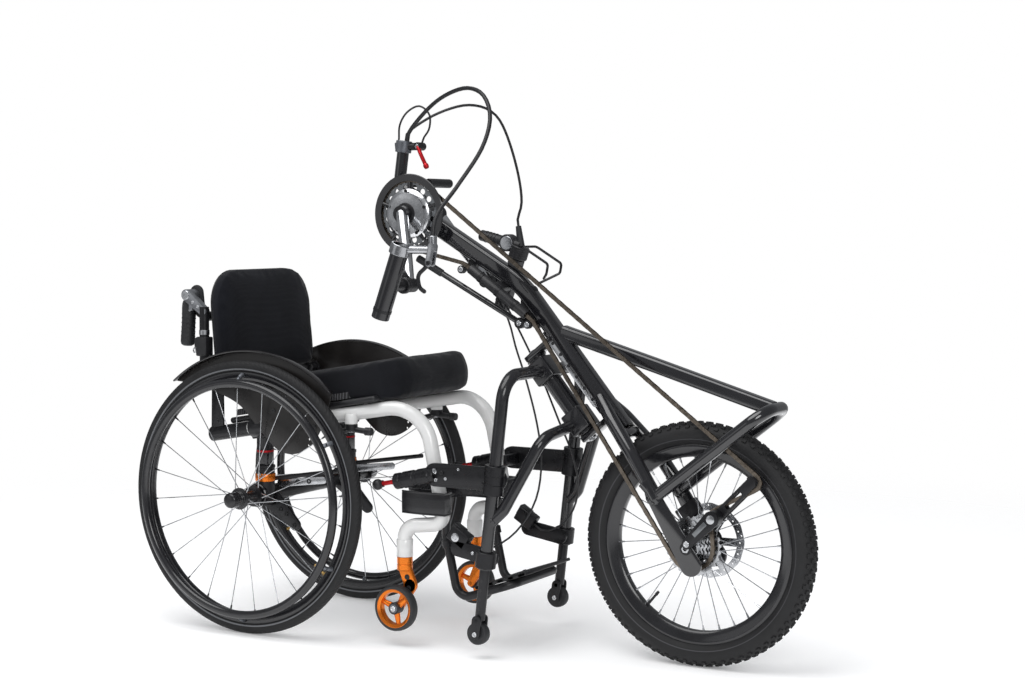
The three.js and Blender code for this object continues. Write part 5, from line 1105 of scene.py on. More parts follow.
bars = [-66, -39.6, -13.2, 13.2, 39.6, 66]


def plate_spot(along, y, sink=0, lift=0):
    """A spot on the leaning footplate, so far along it and above it."""
    return (foot_x + along * math.cos(foot_lean) - sink * math.sin(foot_lean), y,
            foot_z + along * math.sin(foot_lean) + lift * math.cos(foot_lean))


for low, high in zip(bars, bars[1:]):
    low_edge = low + (5 if low > -66 else 0)
    high_edge = high - (5 if high < 66 else 0)
    middle = (low_edge + high_edge) / 2
    slats.append(block(plate_spot(middle, 0), (high_edge - low_edge, 205, 6.9), foot_rise, 1.6))
    for groove in (-4, 4):
        at = middle + groove
        slats.append(block(plate_spot(at, 0, 3.4, 3.3), (1.4, 176, 0.8), foot_rise, 0.3))
for sign in (-1, 1):
    slats.append(block((foot_x, sign * 94, foot_z), (131 * 0.98, 17, 6.9), foot_rise, 1.6))
    for along in (-50, 50):
        slats.append(bolt(plate_spot(along, sign * 94, 3.4, 3.2),
                          (-math.sin(foot_lean), 0, math.cos(foot_lean)), 4.4, 1.6))
fitted(together(*slats), "footplate_slats", black_plastic, "chair", "footplate")

# Calf strap: a wide padded band that bows back between the front legs, hemmed on both edges.
# Its ends go round the outside of each leg.
strap_black = finish("strap_webbing", (0.010, 0.010, 0.012), 0.24, cloud=16, grain=1900, depth=0.12,
                     spread=0.12)


def leg_x(z):
    return 463 + (z - 272) / (529 - 272) * (409 - 463)


half = chair_leg_y - 16.4
strap_front = leg_x(316) + 16
wrap = []
for k in range(17):
    a = math.pi * k / 16
    wrap.append((leg_x(316) - 88 * (1 - k / 16) + 21 * math.sin(a / 2) * k / 16, 156 + 5 * math.sin(a)))
wrap.append((strap_front + 6, 137))
band = [(x, -y) for x, y in wrap] + [(strap_front, -half)]
for sign in (-1, 1):
    for k in range(13):
        a = math.pi / 2 * (k if sign < 0 else 12 - k) / 12
        band.append((350 + 34 - 34 * math.sin(a), sign * (half - 34 + 34 * math.cos(a))))
band += [(strap_front, half)] + wrap[::-1]
rows = [(-24.6, 0.4), (-22.5, 0), (-21, 0.9), (-20, 0.9), (-18.5, 0), (-8, -0.2), (8, -0.2), (18.5, 0),
        (20, 0.9), (21, 0.9), (22.5, 0), (24.6, 0.4)]
count = len(band)
bpy.ops.mesh.primitive_grid_add(x_subdivisions=count - 1, y_subdivisions=len(rows) - 1, size=1)
calf = bpy.context.object
for index, vertex in enumerate(calf.data.vertices):
    column, row = index % count, index // count
    x, y = band[column]
    height, inset = rows[row]
    before, after = band[max(0, column - 1)], band[min(count - 1, column + 1)]
    way = Vector((after[0] - before[0], after[1] - before[1])).normalized()
    normal = Vector((way.y, -way.x))
    away = 2 + inset * 0.5
    vertex.co = mm(x + normal.x * -away, y + normal.y * -away, 316 + height)
modified(calf, "SOLIDIFY", thickness=0.0034, offset=0)
fitted(calf, "calf_strap_band", strap_black, "chair", "calf_strap", angle=50)

# Casters: an orange anodised socket and one-sided fork, and a three-spoke orange rim with a
# black tyre pressed on. A black collar closes the bearing above.
caster_rubber = finish("caster_rubber", (0.02, 0.021, 0.023), 0.6, cloud=60, grain=1400, depth=0.12)
caster_x, caster_z, caster_y = 360, 85, 169
for side, sign in sides:
    x, y = swivel_x, sign * caster_stem_y
    fork_parts = [
        coated(turned([(0, 0), (15.6, 0), (17, 1.4), (17, 12), (16.2, 12.8), (16.2, 14.2), (17, 15),
                       (17, 28.2), (15.8, 29.6), (0, 29.6)], (x, y, 166), (0, 0, 1), 48), orange_anodising)]
    inner = sign * (caster_y - 12 - 0.6)
    near, far = sorted((inner, inner - sign * 9))
    elbow = (387, 134.5)
    upper = plate(oval((swivel_x, 175), elbow, 15, 15), near, far, 1.4)
    lower = plate(oval(elbow, (caster_x, caster_z), 15, 8.5), near, far, 1.4)
    fork_parts += [coated(upper, orange_anodising), coated(lower, orange_anodising)]
    for bx, bz, r in ((380, 152, 6), (384, 128, 6)):
        for way, face in ((1, far), (-1, near)):
            cap = turned([(0, 0), (r, 0), (r, 1.2), (r - 1.4, 1.6), (0, 1.2)], (bx, face, bz), (0, way, 0),
                         28)
            fork_parts.append(coated(cap, satin_black))
    axle = rod((caster_x, inner - sign * 9, caster_z), (caster_x, sign * 181, caster_z), 4.4, sides=20)
    fork_parts += [
        coated(axle, bright_steel),
        coated(bolt((caster_x, sign * 181, caster_z), (0, sign, 0), 6.4, 3), bright_steel),
    ]
    fitted(together(*fork_parts), "caster_fork_orange_" + side, None, "swivel_" + side,
           "caster_fork_" + side)

    centre = (caster_x, sign * caster_y, caster_z)
    rim = coated(turned([(38, -9.6), (41, -11.4), (42.4, -11), (42.4, 11), (41, 11.4), (38, 9.6),
                         (35.4, 8.4), (34.4, 5), (34.4, -5), (35.4, -8.4)], centre, steps=72),
                         orange_anodising)
    tyre = coated(turned([(42, -11.2), (44, -11.9), (47, -11.4), (49.2, -8.6), (50, -4), (50, 4),
                          (49.2, 8.6), (47, 11.4), (44, 11.9), (42, 11.2)], centre, steps=72),
                          caster_rubber)
    hub = coated(turned([(4.9, -12), (11.6, -12), (13, -10.6), (13, 10.6), (11.6, 12), (4.9, 12)], centre,
                        steps=40), satin_black)
    bearing_face = coated(turned([(5, 11.6), (9.4, 11.6), (9.4, 12.4), (5, 12.4)], centre, (0, sign, 0),
        steps=32), grey_tab)
    wheel_parts = [rim, tyre, hub, bearing_face]
    for k in range(3):
        a = 2 * math.pi * (k + 1 / 3) / 3
        spoke = rod(around(centre, 11, a, centre[1]), around(centre, 36.4, a, centre[1]), 7.4, 5.2, 16)
        for vertex in spoke.data.vertices:
            vertex.co.y = centre[1] / 1000 + (vertex.co.y - centre[1] / 1000) * 0.72
        wheel_parts.append(coated(spoke, orange_anodising))
    fitted(together(*wheel_parts), "caster_wheel_spoked_" + side, None, "caster_" + side,
           "caster_wheel_" + side)

# Wheel locks: a black lever with a ribbed knob, and a bright steel shoe beside the tyre. Each
# hangs below its clamp on the side tube.
for side, sign in sides:
    y = sign * 178
    lock = [
        coated(turned([(0, -7), (12.6, -7), (14, -5.6), (14, 5.6), (12.6, 7), (0, 7)], (250, y, 472),
                      (0, 0, 1), 40), satin_black),
        coated(bent_tube([(214, y, 458), (250, y, 468), (290, y, 465)], 6.4, 30, 20), black_plastic),
        coated(turned([(0, 0), (7, 0), (9, 1.6), (8.4, 4), (9, 6), (8.4, 8), (9, 10), (8.4, 12), (9, 14),
                       (8, 17.4), (0, 18)],
                      (286, y, 465), (1, 0, 0), 28), black_plastic),
        coated(bent_tube([(214, y, 458), (214, y + sign * 25.6, 458)], 6.2, 0, 20), bright_steel),
        coated(bolt((250, y, 465), (0, 0, -1), 6, 4), bright_steel),
    ]
    fitted(together(*lock), "wheel_lock_lever_" + side, None, "lock_" + side, "wheel_lock_" + side)

# Docking frame: black enamelled steel tubes. A bent tube comes down on each side from the
# head bearing and a brace joins it below, all welded to the two bearing blocks.
dock_y = 178
head_x, head_z = 632, 600
dock_foot_x, dock_foot_z = 586, 192
head_down = Vector((0.639, 0, -0.769)).normalized()
head_ahead = Vector((-head_down.z, 0, head_down.x))
head_rise = head_down.z / head_down.x


def on_head(along, out=0, y=0):
    spot = Vector((head_x, y, head_z)) + head_down * along + head_ahead * out
    return tuple(spot)


dock_parts = [turned([(0, -34), (18.6, -34), (20, -32.6), (20, 164.6), (18.6, 166), (0, 166)],
                     (head_x, 0, head_z), head_down, 48)]
for spot in (on_head(0), on_head(134)):
    dock_parts.append(block(spot, (52, 56, 48), head_rise, 4, 3))
    for sign in (-1, 1):
        dock_parts.append(bolt(tuple(Vector(spot) + Vector((0, sign * 28, 0)) + head_ahead * -12),
            (0, sign, 0), 4.4, 3))
for along in (-33, 165):
    dock_parts.append(turned([(19, -1.4), (23.4, -1.4), (23.4, 1.4), (19, 1.4)], on_head(along * 0.985),
                             head_down, 44))
dock_lean = (631 - dock_foot_x) / (600 - dock_foot_z)


def dock_leg_x(z):
    return dock_foot_x + dock_lean * (z - dock_foot_z)


for sign in (-1, 1):
    y = sign * dock_y
    bore_ends = [(dock_leg_x(z), y, z) for z in (186, 364)]
    dock_parts.append(cut_by(bent_tube([on_head(0), (631, y, 600), (dock_foot_x, y, dock_foot_z)], 13.5, 52,
        28), rod(*bore_ends, 12.0, sides=32)))
    join_x = dock_leg_x(304)
    brace = bent_tube([on_head(134, -13.5), (694, sign * 126, 470), (join_x + 27, y - sign * 6.75, 317.5),
                       (join_x, y, 290.5)], 12.5, [44, 22], 24)
    dock_parts.append(cut_by(brace, rod(*bore_ends, 12.1, sides=32)))
    bead = weld_bead((join_x + 6, y - sign * 1.6, 300), (27, -sign * 6.75, 27), 12.7, 1.8)
    dock_parts += [
        cut_by(bead, rod(*bore_ends, 12.2, sides=32)),
        weld_bead(on_head(0, 0, sign * 28.5), (0, 1, 0), 13.6, 2),
    ]
    foot = (dock_leg_x(200), y, 200)
    dock_parts += [
        turned([(13.4, -8), (15.6, -7.4), (16, -6), (16, 10), (15.4, 11.4), (13.4, 12)], foot,
               (dock_lean, 0, 1), 36),
        bolt((dock_leg_x(202) - 16, y, 201), (-1, 0, 0), 4, 3),
    ]
fitted(together(*dock_parts), "docking_frame_tubes", gloss_black, "chair", "dock_frame")

# Stand legs: black posts that slide in the legs of the docking frame. Each ends in a small
# fork of two plates, with a rubber roller between them.
dock_up = Vector((dock_lean, 0, 1)).normalized()
for side, sign, drop in (("right", -1, 138), ("left", 1, 122)):
    y = sign * dock_y
    foot = Vector((dock_foot_x, y, dock_foot_z))
    top, hub = foot + dock_up * 60, foot - dock_up * drop
    crown = hub + dock_up * 29
    leg = [coated(rod(tuple(top), tuple(crown), 10.9, sides=32, edge=0.8), satin_black)]
    for k in range(4):
        spot = foot - dock_up * (24 + 20 * k)
        if (spot - hub).length > 45:
            leg.append(coated(turned([(0, 0), (3.4, 0), (3.4, 0.6), (0, 0.6)],
                (spot.x, y + sign * 10.6, spot.z), (0, sign, 0), 16), black_plastic))
    leg.append(coated(rod((crown.x, y - 16.4, crown.z), (crown.x, y + 16.4, crown.z), 5, sides=20,
                          edge=0.8), satin_black))
    for way in (-1, 1):
        near, far = sorted((y + way * 11.8, y + way * 16.4))
        leg += [
            coated(plate(oval((crown.x, crown.z), (hub.x, hub.z), 11, 11), near, far, 1), satin_black),
            coated(bolt((hub.x, y + way * 16.4, hub.z), (0, way, 0), 5.4, 3), bright_steel),
        ]
    fitted(together(*leg), "stand_leg_post_" + side, None, "leg_" + side, "stand_leg_" + side)
    roller = turned([(0, -11), (9, -11), (9.6, -9.8), (18.6, -9.8), (21.6, -10.4), (23.4, -8), (24, -3.4),
                     (24, 3.4), (23.4, 8), (21.6, 10.4), (18.6, 9.8), (9.6, 9.8), (9, 11), (0, 11)],
                     (hub.x, y, hub.z), steps=56)
    fitted(roller, "stand_roller_turned_" + side, caster_rubber, "roller_" + side, "stand_roller_" + side)

# Docking clamps: black machined blocks bolted round the docking leg. The upper one closes a
# long jaw on the chair's front leg, wound by a red rod with a black ball; the lower one hooks on.
machined_black = finish("machined_black", (0.011, 0.011, 0.013), 0.3, metallic=0.4, cloud=44, grain=1200,
                        depth=0.1)
for side, sign in sides:
    y = sign * dock_y
    leg_at = Vector((dock_leg_x(382), y, 382))
    jaw_y = sign * (chair_leg_y + 32)
    start = Vector((leg_x(382) + 18, jaw_y, 382))
    end = start + Vector((-98, 0, -98 * 0.22))
    way = (end - start).normalized()
    parts = [
        coated(turned([(13.9, -31), (21, -31), (22, -30), (22, -10), (20.4, -9), (20.4, 9), (22, 10),
                       (22, 30), (21, 31), (13.9, 31)], tuple(leg_at), tuple(dock_up), 44), machined_black),
        coated(plate(oval((leg_at.x, 382), (start.x, 382), 25, 25, 20), jaw_y - 5, jaw_y + 5, 1.6),
               machined_black),
        coated(plate(oval((leg_at.x - 20, 384), (start.x + 16, 380), 19, 16, 20), jaw_y + sign * 4.6,
                     jaw_y + sign * 7.4, 1), machined_black),
    ]
    profile = [(0, -1), (15, -1), (16.4, 0.6), (16.4, 10), (18, 12), (18, 40), (16.6, 42), (16.6, 50),
               (18, 52), (18, 78), (16.4, 80), (16.4, 86), (17.4, 87.4), (17.4, 99), (15.6, 100.6),
               (0, 100.6)]
    barrel = turned(profile, tuple(start), tuple(way), 40)
    for x, z, radius in ((start.x + 2, 390, 6.4), (start.x + 6, 372, 4), (start.x + 30, 376, 3.4),
                         (start.x + 62, 398, 3)):
        parts.append(coated(bolt((x, jaw_y + sign * 7.2, z), (0, sign, 0), radius, 2), bright_steel))
    parts.append(coated(barrel, machined_black))
    hook = block((start.x + 16, sign * 139, 382), (10, 68, 25), 0, 2)
    parts.append(coated(hook, machined_black))
    for x, z, r in ((leg_at.x - 8, 392, 7), (leg_at.x - 26, 374, 4.6), (start.x + 20, 388, 4.6),
                    (start.x - 4, 372, 4)):
        parts.append(coated(bolt((x, jaw_y + sign * 7.4, z), (0, sign, 0), r, 2.6, r * 0.5),
                            bright_steel if r == 7 else satin_black))
    fitted(together(*parts), "upper_clamp_machined_" + side, None, "chair", "upper_clamp_" + side)

    rod_start = end + way * 0.4
    rod_end = rod_start + way * 42
    ball_at = rod_end + way * 6
    screw = [coated(rod(tuple(rod_start), tuple(rod_end), 5, sides=24), signal_red)]
    for k in range(3):
        spot = rod_start + way * (4 + 3 * k)
        screw.append(coated(turned([(4.6, -0.8), (5.6, -0.4), (5.6, 0.4), (4.6, 0.8)], tuple(spot),
            tuple(way), 24), signal_red))
    ball = [(12 * math.sin(math.pi * k / 14), -12 * math.cos(math.pi * k / 14)) for k in range(15)]
    screw += [
        coated(turned(ball, tuple(ball_at), tuple(way), 32), black_plastic),
        coated(turned([(4.8, -14), (7.6, -14), (7.6, -9), (4.8, -9)], tuple(ball_at), tuple(way), 24),
               black_plastic),
    ]
    fitted(together(*screw), "clamp_screw_red_" + side, None, "screw_" + side, "clamp_screw_" + side)

    low = Vector((dock_leg_x(213), y, 213))
    block_y = sign * (dock_y - 30)
    parts = [coated(turned([(13.9, -17), (21, -17), (22, -16), (22, 16), (21, 17), (13.9, 17)], tuple(low),
                           tuple(dock_up), 44), machined_black)]
    from_y = block_y + sign * 3 if sign > 0 else block_y - 13
    parts += [
        coated(plate(oval((low.x, 213), (508, 226), 17, 17), from_y, from_y + 10, 1.4), machined_black),
        coated(block((508, block_y, 250), (48, 26, 34), -0.62, 3, 3), machined_black),
        coated(block((503, block_y - sign * 1, 262), (30, 20, 26), -0.62, 3, 3), machined_black),
        coated(turned([(0, 0), (9.6, 0), (9.6, 1.6), (8, 2.4), (5, 2.4), (4, 1.2), (0, 1.2)],
                      (503, block_y + sign * 13, 250), (0, sign, 0), 32), bright_steel),
    ]
    for x, z in ((546, 220), (566, 217)):
        parts.append(coated(bolt((x, from_y + (10 if sign > 0 else 0), z), (0, sign, 0), 3.8, 2),
                            bright_steel))
    fitted(together(*parts), "lower_clamp_machined_" + side, None, "chair", "lower_clamp_" + side)

# Main boom: a black tube of rounded-square section, from the crank bearing over a wide bend
# down to the fork, with the yoke round the head bearing and a slotted silver rail beside it.
crank_x, crank_z = 315, 935
knee_x, knee_z = 574, 784
crank_axis = (crank_x, 0, crank_z)
front_x, front_z = 996, 256
front_centre = (front_x, 0, front_z)
chain_y = -42
boom_line = bent_line([crank_axis, (knee_x, 0, knee_z), (822, 0, 486)], 210, 4)
boom_black = finish("boom_gloss_black", (0.010, 0.010, 0.012), 0.13, coat=0.9, cloud=6, grain=380,
                    depth=0.015, spread=0.06)


def squared_tube(line, width, height, corner):
    """A rounded-square tube along a line that stays in the middle plane."""
    section = rounded_loop(width, height, corner, 5)
    count = len(section)
    bpy.ops.mesh.primitive_grid_add(x_subdivisions=count, y_subdivisions=len(line) - 1, size=1)
    piece = bpy.context.object
    for index, vertex in enumerate(piece.data.vertices):
        column, row = index % (count + 1), index // (count + 1)
        before, after = Vector(line[max(0, row - 1)]), Vector(line[min(len(line) - 1, row + 1)])
        way = (after - before).normalized()
        up = Vector((-way.z, 0, way.x))
        across, rise = section[column % count]
        vertex.co = mm(*(Vector(line[row]) + Vector((0, across, 0)) + up * rise))
    return cleaned(only(piece), caps=True)


def boom_height(x):
    return crank_z + (x - crank_x) * (knee_z - crank_z) / (knee_x - crank_x)


boom_parts = [
    coated(squared_tube(boom_line, 32, 38, 9), boom_black),
    coated(turned([(11.4, -30), (23, -30), (24.6, -28.6), (24.6, -25), (27, -23.6), (27, 23.6), (24.6, 25),
                   (24.6, 28.6), (23, 30), (11.4, 30)], crank_axis, steps=64), boom_black),
    coated(weld_bead((335, 0, 923.4), (knee_x - crank_x, 0, knee_z - crank_z), 17, 2), boom_black),
]
for along in (-41.1, 173.1):
    boom_parts += [
        coated(block(on_head(along, 24), (13, 36, 84), head_rise, 3, 3), boom_black),
        coated(bolt(on_head(along + (-6.5 if along < 0 else 6.5)), head_down * (-1 if along < 0 else 1), 9,
                    4, 4.6), bright_steel),
    ]
rail_middle = on_head(45, 58)
boom_parts.append(coated(block(rail_middle, (218, 24, 15.6), head_rise, 2.4), satin_black))
for sign in (-1, 1):
    outline = oval((on_head(-40, 58)[0], on_head(-40, 58)[2]), (on_head(130, 58)[0], on_head(130, 58)[2]),
                   8.5, 8.5)
    rail_plate = plate(outline, sign * 12.1, sign * 15.6, 0.8)
    boom_parts.append(coated(rail_plate, bright_steel))
    for k in range(6):
        spot = on_head(-30 + 30 * k, 58)
        boom_parts.append(coated(turned([(0, 0), (3.8, 0), (3.8, 0.7), (0, 0.7)],
            (spot[0], sign * 15.2, spot[2]), (0, sign, 0), 20), black_plastic))

# Chain guide under the boom: two black plastic idlers on brackets, and a plastic tube that
# leads the chain between them. All of it is fixed to the boom.
lever_x, lever_z = 584, 702
idler_spots = [(612, 700, 598), (448, 815, 462)]
for x, z, arm_x in idler_spots:
    boom_parts += [
        coated(plate(oval((x, z), (arm_x, boom_height(arm_x)), 10, 12), -8, 8, 1.4), satin_black),
        coated(rod((x, 0, z), (x, -49, z), 4.8, sides=20, edge=0.6), satin_black),
        coated(turned([(4.8, -5.6), (8.7, -5.6), (8.9, -3), (7.6, -2.2), (7.6, 2.2), (8.9, 3), (8.7, 5.6),
                       (4.8, 5.6)], (x, chain_y, z), steps=36), black_plastic),
        coated(bolt((x, -48, z), (0, -1, 0), 6, 3), bright_steel),
    ]


def belt(wheels, step=6):
    """The chain's middle line round wheels that turn with it or against it."""
    line = []
    count = len(wheels)
    leaves = []
    for i, (x, z, r, way) in enumerate(wheels):
        x2, z2, r2, way2 = wheels[(i + 1) % count]
        lean = math.asin((way * r - way2 * r2) / math.hypot(x2 - x, z2 - z))
        leaves.append(math.atan2(z2 - z, x2 - x) + math.pi / 2 - lean)
    for i, (x, z, r, way) in enumerate(wheels):
        arrive, leave = leaves[i - 1], leaves[i]
        if way > 0:
            while leave > arrive:
                leave -= 2 * math.pi
        else:
            while leave < arrive:
                leave += 2 * math.pi
        steps = max(2, round(math.degrees(abs(leave - arrive)) / step))
        for k in range(steps + 1):
            a = arrive + (leave - arrive) * k / steps
            line.append((x + way * r * math.cos(a), z + way * r * math.sin(a)))
    return line


mech_pivot, tip_pulley = (1054, 322), (1128, 398)
chain_wheels = [(crank_x, crank_z, 74, 1), (*tip_pulley, 17, 1), (*mech_pivot, 17, -1),
                (front_x, front_z, 48, 1), *[(x, z, 14, -1) for x, z, _ in idler_spots]]
chain_line = belt(chain_wheels)
guide = None
for a, b in zip(chain_line, chain_line[1:] + chain_line[:1]):
    if a[0] < 626 and b[0] > 434 and a[0] > b[0] and (guide is None or math.dist(a, b) > math.dist(*guide)):
        guide = (a, b)
low_end = [guide[1][i] + (guide[0][i] - guide[1][i]) * 0.08 for i in (0, 1)]
high_end = [guide[1][i] + (guide[0][i] - guide[1][i]) * 0.92 for i in (0, 1)]
guide_way = Vector((high_end[0] - low_end[0], 0, high_end[1] - low_end[1]))
guide_tube = turned([(6.3, 0), (10.4, 0), (11, 1), (11, guide_way.length - 1), (10.4, guide_way.length),
                     (6.3, guide_way.length)], (low_end[0], chain_y, low_end[1]), guide_way, 32)
boom_parts.append(coated(guide_tube, black_plastic))
middle = [(a + b) / 2 for a, b in zip(low_end, high_end)]
rise = guide_way.z / guide_way.x
boom_parts.append(coated(block((middle[0], -21, middle[1] + 11), (22, 42, 10.6), rise, 1.6), satin_black))
for share in (0.2, 0.5, 0.8):
    spot = [a + (b - a) * share for a, b in zip(low_end, high_end)]
    boom_parts.append(coated(turned([(10.8, -4), (12, -4), (12, 4), (10.8, 4)], (spot[0], chain_y, spot[1]),
        guide_way, 28), satin_black))
boom_parts += [
    coated(plate(oval((lever_x, lever_z), (lever_x, boom_height(lever_x)), 10, 10), -8, 8, 1.4),
           satin_black),
    coated(rod((lever_x, 0, lever_z), (lever_x, -18, lever_z), 10, sides=28, edge=1), satin_black),
]
fitted(together(*boom_parts), "main_boom_tube", None, "front", "main_boom")

# Fork: two gloss black blades that bow out from the boom's end and run down to flat
# dropouts, with the wheel's axle through them.
fork_parts = []
for sign in (-1, 1):
    y = sign * 67
    line = bent_line([(768, sign * 6, 548), (806, sign * 34, 509), (868, sign * 58, 438), (928, y, 352)],
                     90, 6)
    fork_parts += [
        coated(bent_tube(None, 15, line=line, sides=28), boom_black),
        coated(plate(oval((917, 363), (1006, 222), 15, 23, 24), y - 4, y + 4, 1.6), boom_black),
        coated(rod((900, y - sign * 1, 386), (934, y, 345), 15, 9, 28, 1), boom_black),
        coated(turned([(5.4, 3.6), (13, 3.6), (13, 5.4), (11.6, 6.4), (5.4, 6.4)], (front_x, y, front_z),
                      (0, sign, 0), 36), satin_black),
        coated(turned([(5, 6), (8.6, 6), (8.6, 7.6), (5, 8)], (front_x, y, front_z), (0, sign, 0), 6),
               bright_steel),
    ]
fork_parts.append(coated(rod((830, -33, 477), (830, 33, 477), 12, sides=28, edge=1), boom_black))
fitted(together(*fork_parts), "fork_blades", None, "front", "fork")

# Bow: a hoop of round tube over the front wheel, held by a squared tube back to the boom.
# Both are enamelled black, and the hoop's ends are welded to the fork.
bow_tip_x, bow_tip_z, bow_back_x = 1160, 545, 912
bow_start = bow_tip_z - 0.8 * (bow_tip_x - bow_back_x)
hoop = bent_tube([(bow_back_x, -65, bow_start), (bow_tip_x, -65, bow_tip_z), (bow_tip_x, 65, bow_tip_z),
                  (bow_back_x, 65, bow_start)], 13, 44, 28)
top_tube = squared_tube([(676, 0, 684), (900, 0, 619.7), (1153.5, 0, bow_tip_z)], 30, 30, 8)
bow_beads = [weld_bead((bow_back_x + 6, sign * 65, bow_start + 5), (248, 0, 198), 13.2,
                       1.8) for sign in (-1, 1)]
fitted(together(hoop, top_tube, *bow_beads), "bow_hoop", boom_black, "front", "bow")

# Front wheel: a deep black rim laced with 32 steel spokes to a hub with a disc brake and a
# sprocket body, and a wide tyre with moulded blocks.
front_rim_section = mirrored([(182, -8.5), (185, -11), (192, -13.4), (199, -16), (203, -17), (206, -17),
                              (208, -16), (208, -14.6), (205, -13.6), (201.6, -12)])
front_rim_section += [(181, 4), (181, -4)]
front_rim = coated(turned(front_rim_section, front_centre, steps=128), gloss_black)
front_hub = coated(turned(
    [(5, -69.6), (5, -62.4), (17.2, -62.4), (17.2, -30), (28, -28.4), (29, -27), (29, -25), (28, -24),
     (19, -22), (16.6, -16), (16, 0), (16.6, 16), (19, 22), (28, 24), (29, 25), (29, 27), (28, 28.4),
     (20, 30), (18, 34), (18, 46), (24, 47.6), (24, 51), (17, 53), (17, 62), (12, 62.4), (5, 62.4),
     (5, 69.6), (0, 69.6), (0, -69.6)], front_centre, steps=56), satin_black)
front_wires, front_ends = laced(front_centre, 32, 25, 183.4, 32, 52, bright_steel)
disc_outline = []
for k in range(144):
    a = 2 * math.pi * k / 144
    disc_outline.append(polar(front_x, front_z, 79.2 - 1.6 * (0.5 - 0.5 * math.cos(12 * a)), a))
disc = plate(disc_outline, 49, 51, 0)
windows = []
for k in range(6):
    a = math.radians(60 * k + 30)
    outline = []
    for radius, spread in ((30, 14), (63, 22)):
        for j in range(7):
            swing = a + math.radians(spread * (j / 3 - 1) * (1 if radius == 30 else -1))
            outline.append(polar(front_x, front_z, radius, swing))
    windows.append(plate(outline, 45, 55, 0))
for k in range(36):
    a = math.radians(10 * k + (2 if k % 2 else 0))
    r = (69, 74)[k % 2]
    windows.append(rod(around(front_centre, r, a, 45), around(front_centre, r, a, 55), 2, sides=8))
coated(cut_by(disc, *windows), bright_steel)
for k in range(6):
    a = math.radians(60 * k)
    front_ends = together(front_ends, coated(bolt(around(front_centre, 21, a, 51), (0, 1, 0), 3, 2),
        satin_black))
front_valve = coated(together(
    rod((front_x, 0, front_z - 182), (front_x, 0, front_z - 150), 3.2, 2.6, 12),
    rod((front_x, 0, front_z - 152), (front_x, 0, front_z - 143), 3.6, 3, 12)), satin_black)
front_valve.data.transform(about(front_centre, 40))
fitted(together(front_rim, front_hub, front_wires, front_ends, disc, front_valve), "front_wheel_laced",
       None, "front_wheel_body", "front_wheel")
front_tyre_section = mirrored([(206.4, -13), (209, -16), (214, -21), (221, -25.6), (229, -27.4), (236, -26),
    (243, -22), (248.4, -15.6), (251.4, -8)], (252.4, 0))
front_rubber = tyre_rubber("front_tyre_rubber", front_centre, 246, 84, 500,
                           band=(219, 220.6, (0.05, 0.05, 0.055)), depth=0.3)
casing = turned(front_tyre_section, front_centre, steps=144)
knobs = []
knob_rows = [(0, 0, 11, 9, 252, 0), (12, 0.5, 9, 8, 249.6, 26), (-12, 0.5, 9, 8, 249.6, -26),
             (20.5, 0, 10, 7, 243.6, 52), (-20.5, 0, 10, 7, 243.6, -52)]
for offset, shift, length, wide, radius, tilt in knob_rows:
    bpy.ops.mesh.primitive_cube_add(size=1)
    knob = bpy.context.object
    knob.data.transform(Matrix.Diagonal((length / 1000, wide / 1000, 0.0052, 1)))
    bpy.ops.object.mode_set(mode="EDIT")
    bpy.ops.mesh.select_all(action="DESELECT")
    bpy.ops.object.mode_set(mode="OBJECT")
    for face in knob.data.polygons:
        face.select = face.normal.z > 0.9
    bpy.ops.object.mode_set(mode="EDIT")
    bpy.ops.transform.resize(value=(0.78, 0.78, 1))
    bpy.ops.object.mode_set(mode="OBJECT")
    knob.data.transform(Matrix.Rotation(math.radians(-tilt), 4, "X"))
    knob.data.transform(Matrix.Translation((0, offset / 1000, (radius + 1.2) / 1000)))
    for k in range(72):
        twin = knob.data.copy()
        knob_turn = Matrix.Rotation(2 * math.pi * (k + shift) / 72, 4, "Y")
        twin.transform(Matrix.Translation(mm(*front_centre)) @ knob_turn)
        block_piece = bpy.data.objects.new("tread_block", twin)
        bpy.context.collection.objects.link(block_piece)
        knobs.append(block_piece)
    bpy.data.objects.remove(knob)
fitted(together(casing, *knobs), "front_tyre_blocks", front_rubber, "front_wheel_body", "front_tyre")

# Sprocket cluster: six toothed steel rings on the freewheel body, smallest outside. Five
# arms reach out to the larger ones.
def toothed(x, z, teeth, tip, root):
    """The outline of a sprocket, with four points to each tooth."""
    return [polar(x, z, tip if k % 4 in (1, 2) else root, 2 * math.pi * k / (teeth * 4))
            for k in range(teeth * 4)]


cluster = []
for radius, at, teeth in ((26, -57.5, 11), (32, -52.5, 13), (38, -47.8, 16), (42, -42, 18), (53, -36.7, 22),
                          (62, -33, 26)):
    ring = plate(toothed(front_x, front_z, teeth, radius, radius - 4.2), at - 0.9, at + 0.9, 0)
    cluster.append(cut_by(ring, rod((front_x, at - 5, front_z), (front_x, at + 5, front_z),
        17.8 if radius < 45 else radius - 14, sides=36)))
for a in range(5):
    swing = 2 * math.pi * a / 5
    cluster.append(rod(around(front_centre, 20, swing, -34.8), around(front_centre, 46, swing, -34.8), 2.6,
                       sides=8))
cluster.append(turned([(17.7, -59.6), (21.6, -59.6), (22.4, -58.6), (22.4, -34), (17.7, -34)], front_centre,
                      steps=48))
fitted(together(*cluster), "sprocket_cluster", bright_steel, "sprockets", "cassette")

